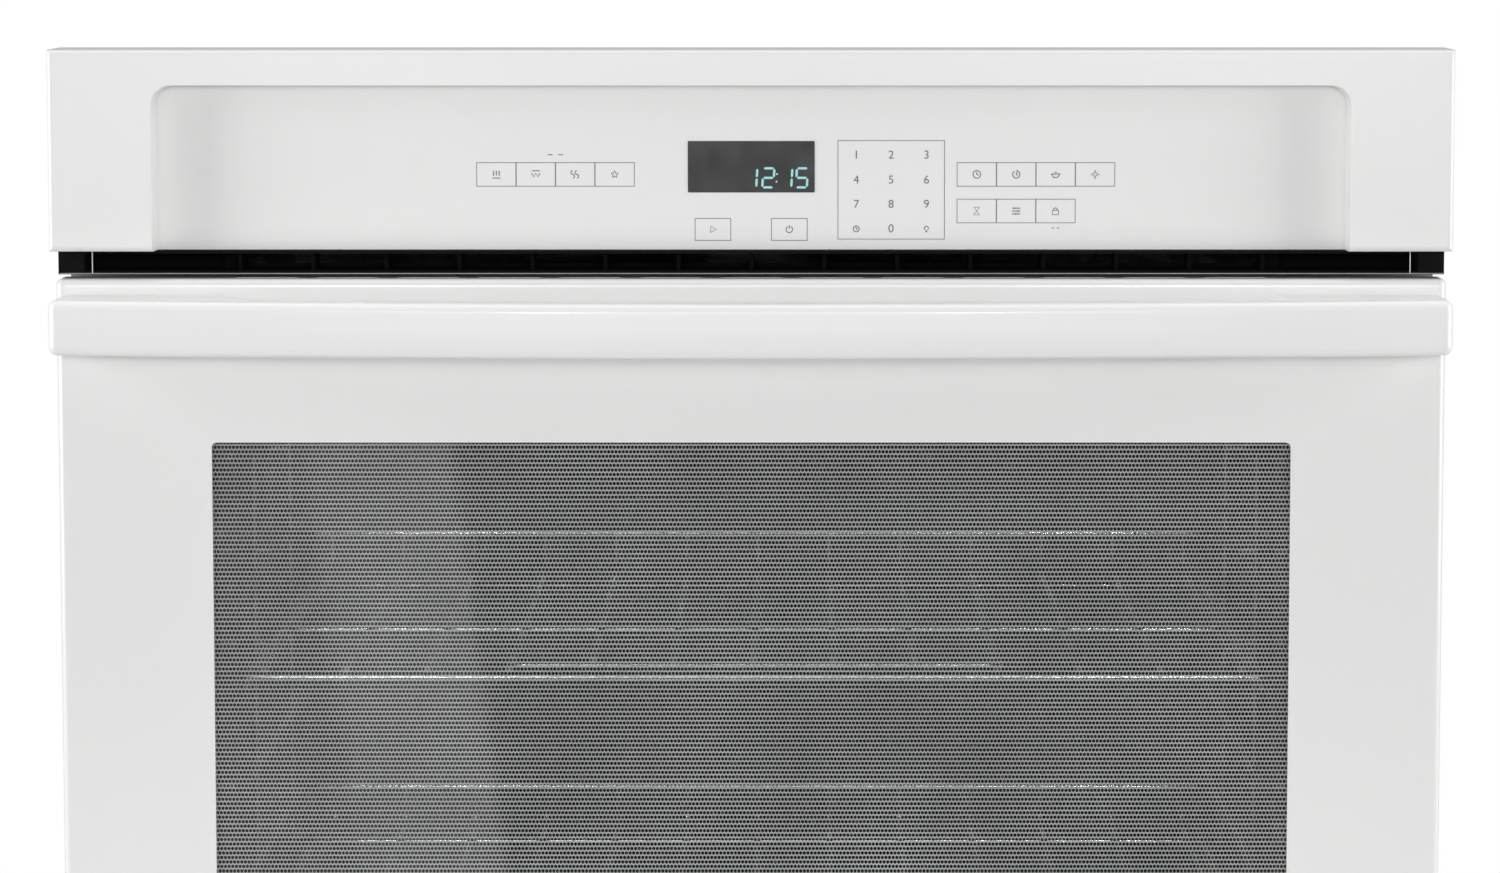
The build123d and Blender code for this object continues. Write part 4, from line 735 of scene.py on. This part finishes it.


# The grey of this bar is a painted highlight along the vent trim's lower edge.
add_object("vent_lip_painted_highlight", lip_mesh("vent_lip_painted_highlight"), "frame_grey", "oven_body")
gap_z = (vent_low.z + FROM_FLOOR, vent_high.z - FROM_ROOF)
bracket_y = (vent_low.y - BRACKET_PROUD, vent_low.y + BRACKET_DEPTH)
rib_y = (vent_high.y - END_RIB_DEPTH, vent_high.y - FROM_BACK)
# Black bars that close the vent gap over the front frame's edge and the duct walls: they paint the
# shade of the deep gap.
add_object("vent_shade_back_lip",
           bar_mesh("vent_shade_back_lip", (-AIR_SLOT_END, AIR_SLOT_END),
                    (vent_high.y - BACK_LIP_DEPTH, vent_high.y - FROM_BACK),
                    (vent_low.z + FROM_FLOOR, vent_low.z + BACK_LIP)), "vent_black", "oven_body")
for side_name, side in (("left", -1), ("right", 1)):
    edge_x = sorted((side * (BRACKET_X - BRACKET_WIDTH), side * BRACKET_X))
    name = "vent_bracket_edge_" + side_name
    add_object(name, bar_mesh(name, edge_x, bracket_y, gap_z), "panel_white", "oven_body")
    # End ribs: black bars over the lit duct walls, painted shade of the vent gap.
    rib_x = sorted((side * (AIR_SLOT_END - END_RIB), side * AIR_SLOT_END))
    name = "vent_shade_rib_" + side_name
    add_object(name, bar_mesh(name, rib_x, rib_y, gap_z), "vent_black", "oven_body")

# ---- stage, light and camera ----
FLOOR_RADIUS = 0.92
WALL_BEHIND_CAMERA = (0.06, 0.06, 0.06)
WALL_FRONT = (0.16, 0.16, 0.16)
WALL_SIDE = (0.60, 0.60, 0.60)
WALL_BACK = (0.35, 0.35, 0.35)
MIX_A, MIX_B, MIX_RESULT = 6, 7, 2    # colour sockets of the mix node


def pale_floor():
    """A round pale floor under the oven."""
    material, tree, shader = new_material("floor")
    patches = noise(tree, 2.0, 2.0)
    colour = ramp(tree, patches, (0.2, (0.86, 0.86, 0.86)), (0.8, (0.9, 0.9, 0.9)))
    finish_surface(tree, shader, colour, spread(tree, patches, 0.6, 0.7))
    rim = [(x, y, 0) for x, y in arc(0, 0, FLOOR_RADIUS, steps=96)]
    mesh = mesh_from("floor", rim, [tuple(range(len(rim)))])
    plane = bpy.data.objects.new("floor", mesh)
    bpy.context.scene.collection.objects.link(plane)
    mesh.materials.append(material)


def studio_world():
    """Grey studio walls, brightest at the sides; the camera itself sees plain white."""
    world = bpy.data.worlds.new("studio")
    world.use_nodes = True
    tree = world.node_tree
    split = tree.nodes.new("ShaderNodeSeparateXYZ")
    source = tree.nodes.new("ShaderNodeTexCoord")
    tree.links.new(source.outputs["Generated"], split.inputs["Vector"])
    depth = tree.nodes.new("ShaderNodeMapRange")
    depth.inputs["From Min"].default_value = -1.0
    tree.links.new(split.outputs["Y"], depth.inputs["Value"])
    walls = ramp(tree, depth.outputs["Result"],
                 (0.0, WALL_BEHIND_CAMERA), (0.02, WALL_BEHIND_CAMERA), (0.07, WALL_FRONT),
                 (0.42, WALL_SIDE), (0.62, WALL_SIDE), (0.8, WALL_BACK), (1.0, WALL_BACK))
    seen = tree.nodes.new("ShaderNodeLightPath")
    mix = tree.nodes.new("ShaderNodeMix")
    mix.data_type = "RGBA"
    tree.links.new(seen.outputs["Is Camera Ray"], mix.inputs["Factor"])
    tree.links.new(walls, mix.inputs[MIX_A])
    mix.inputs[MIX_B].default_value = (1, 1, 1, 1)
    background = tree.nodes["Background"]
    tree.links.new(mix.outputs[MIX_RESULT], background.inputs["Color"])
    background.inputs["Strength"].default_value = 1.0
    bpy.context.scene.world = world


pale_floor()
studio_world()
bpy.context.scene.view_settings.view_transform = "Standard"
bpy.context.scene.cycles.transparent_max_bounces = 32    # light crosses three panes each way


def softbox(name, place, aim, size, power):
    """A rectangular area light at place, facing aim."""
    light = bpy.data.lights.new(name, "AREA")
    light.shape = "RECTANGLE"
    light.size, light.size_y = size
    light.energy = power
    lamp = bpy.data.objects.new(name, light)
    lamp.location = place
    lamp.rotation_euler = (Vector(aim) - Vector(place)).to_track_quat("-Z", "Y").to_euler()
    bpy.context.scene.collection.objects.link(lamp)
    return lamp


GLOW_RIGHT = -0.31               # right-hand edge of the two lights mirrored in the window
GLOW_Y = -2.8
GLOW_Z = -0.12
GLOW_HEIGHT = 1.1
GLOW_TILT = math.radians(7)
GLOW_POWER = 0.24
for glow_name, glow_width in (("window_glow_narrow", 0.16), ("window_glow_wide", 0.31)):
    glow_x = GLOW_RIGHT - glow_width / 2
    glow = softbox(glow_name, (glow_x, GLOW_Y, GLOW_Z), (glow_x, 0, GLOW_Z),
                   (glow_width, GLOW_HEIGHT), GLOW_POWER)
    glow.rotation_euler.rotate_axis("Z", GLOW_TILT)

# name, place, the point it faces, width and height, watts
for light in (("front_light", (0, -2.95, 1.02), (0, 0, 0.4), (2.0, 0.56), 14),
              ("low_front_light", (0, -2.9, 0.38), (0, 0, 0.38), (2.0, 0.16), 2),
              ("left_lamp", (-0.45, -2.8, 0.92), (0, 0, 0.4), (0.14, 0.14), 4.5),
              ("right_lamp", (0.43, -2.8, 0.92), (0, 0, 0.4), (0.14, 0.14), 4.5),
              ("left_side_light", (-2.2, -0.9, 0.9), (0, -0.2, 0.45), (1.0, 1.6), 29),
              ("right_side_light", (2.2, -0.9, 0.9), (0, -0.2, 0.45), (1.0, 1.6), 26),
              ("top_light", (0, -0.25, 2.6), (0, -0.25, 0.5), (2.4, 0.8), 10)):
    softbox(*light)

CAMERA_PLACE = (0.0214, -2.795, 0.8039)
CAMERA_TILT = 0.093
CAMERA_SHIFT = (-0.027, -0.06)
PICTURE_WIDTH = 1500
FOCAL_PIXELS = 4653.0
camera_data = bpy.data.cameras.new("camera")
camera_data.sensor_width = 36.0
camera_data.lens = FOCAL_PIXELS / PICTURE_WIDTH * camera_data.sensor_width
camera_data.shift_x, camera_data.shift_y = CAMERA_SHIFT
camera = bpy.data.objects.new("camera", camera_data)
camera.location = CAMERA_PLACE
camera.rotation_euler = (math.pi / 2 - CAMERA_TILT, 0, 0)
bpy.context.scene.collection.objects.link(camera)
bpy.context.scene.camera = camera
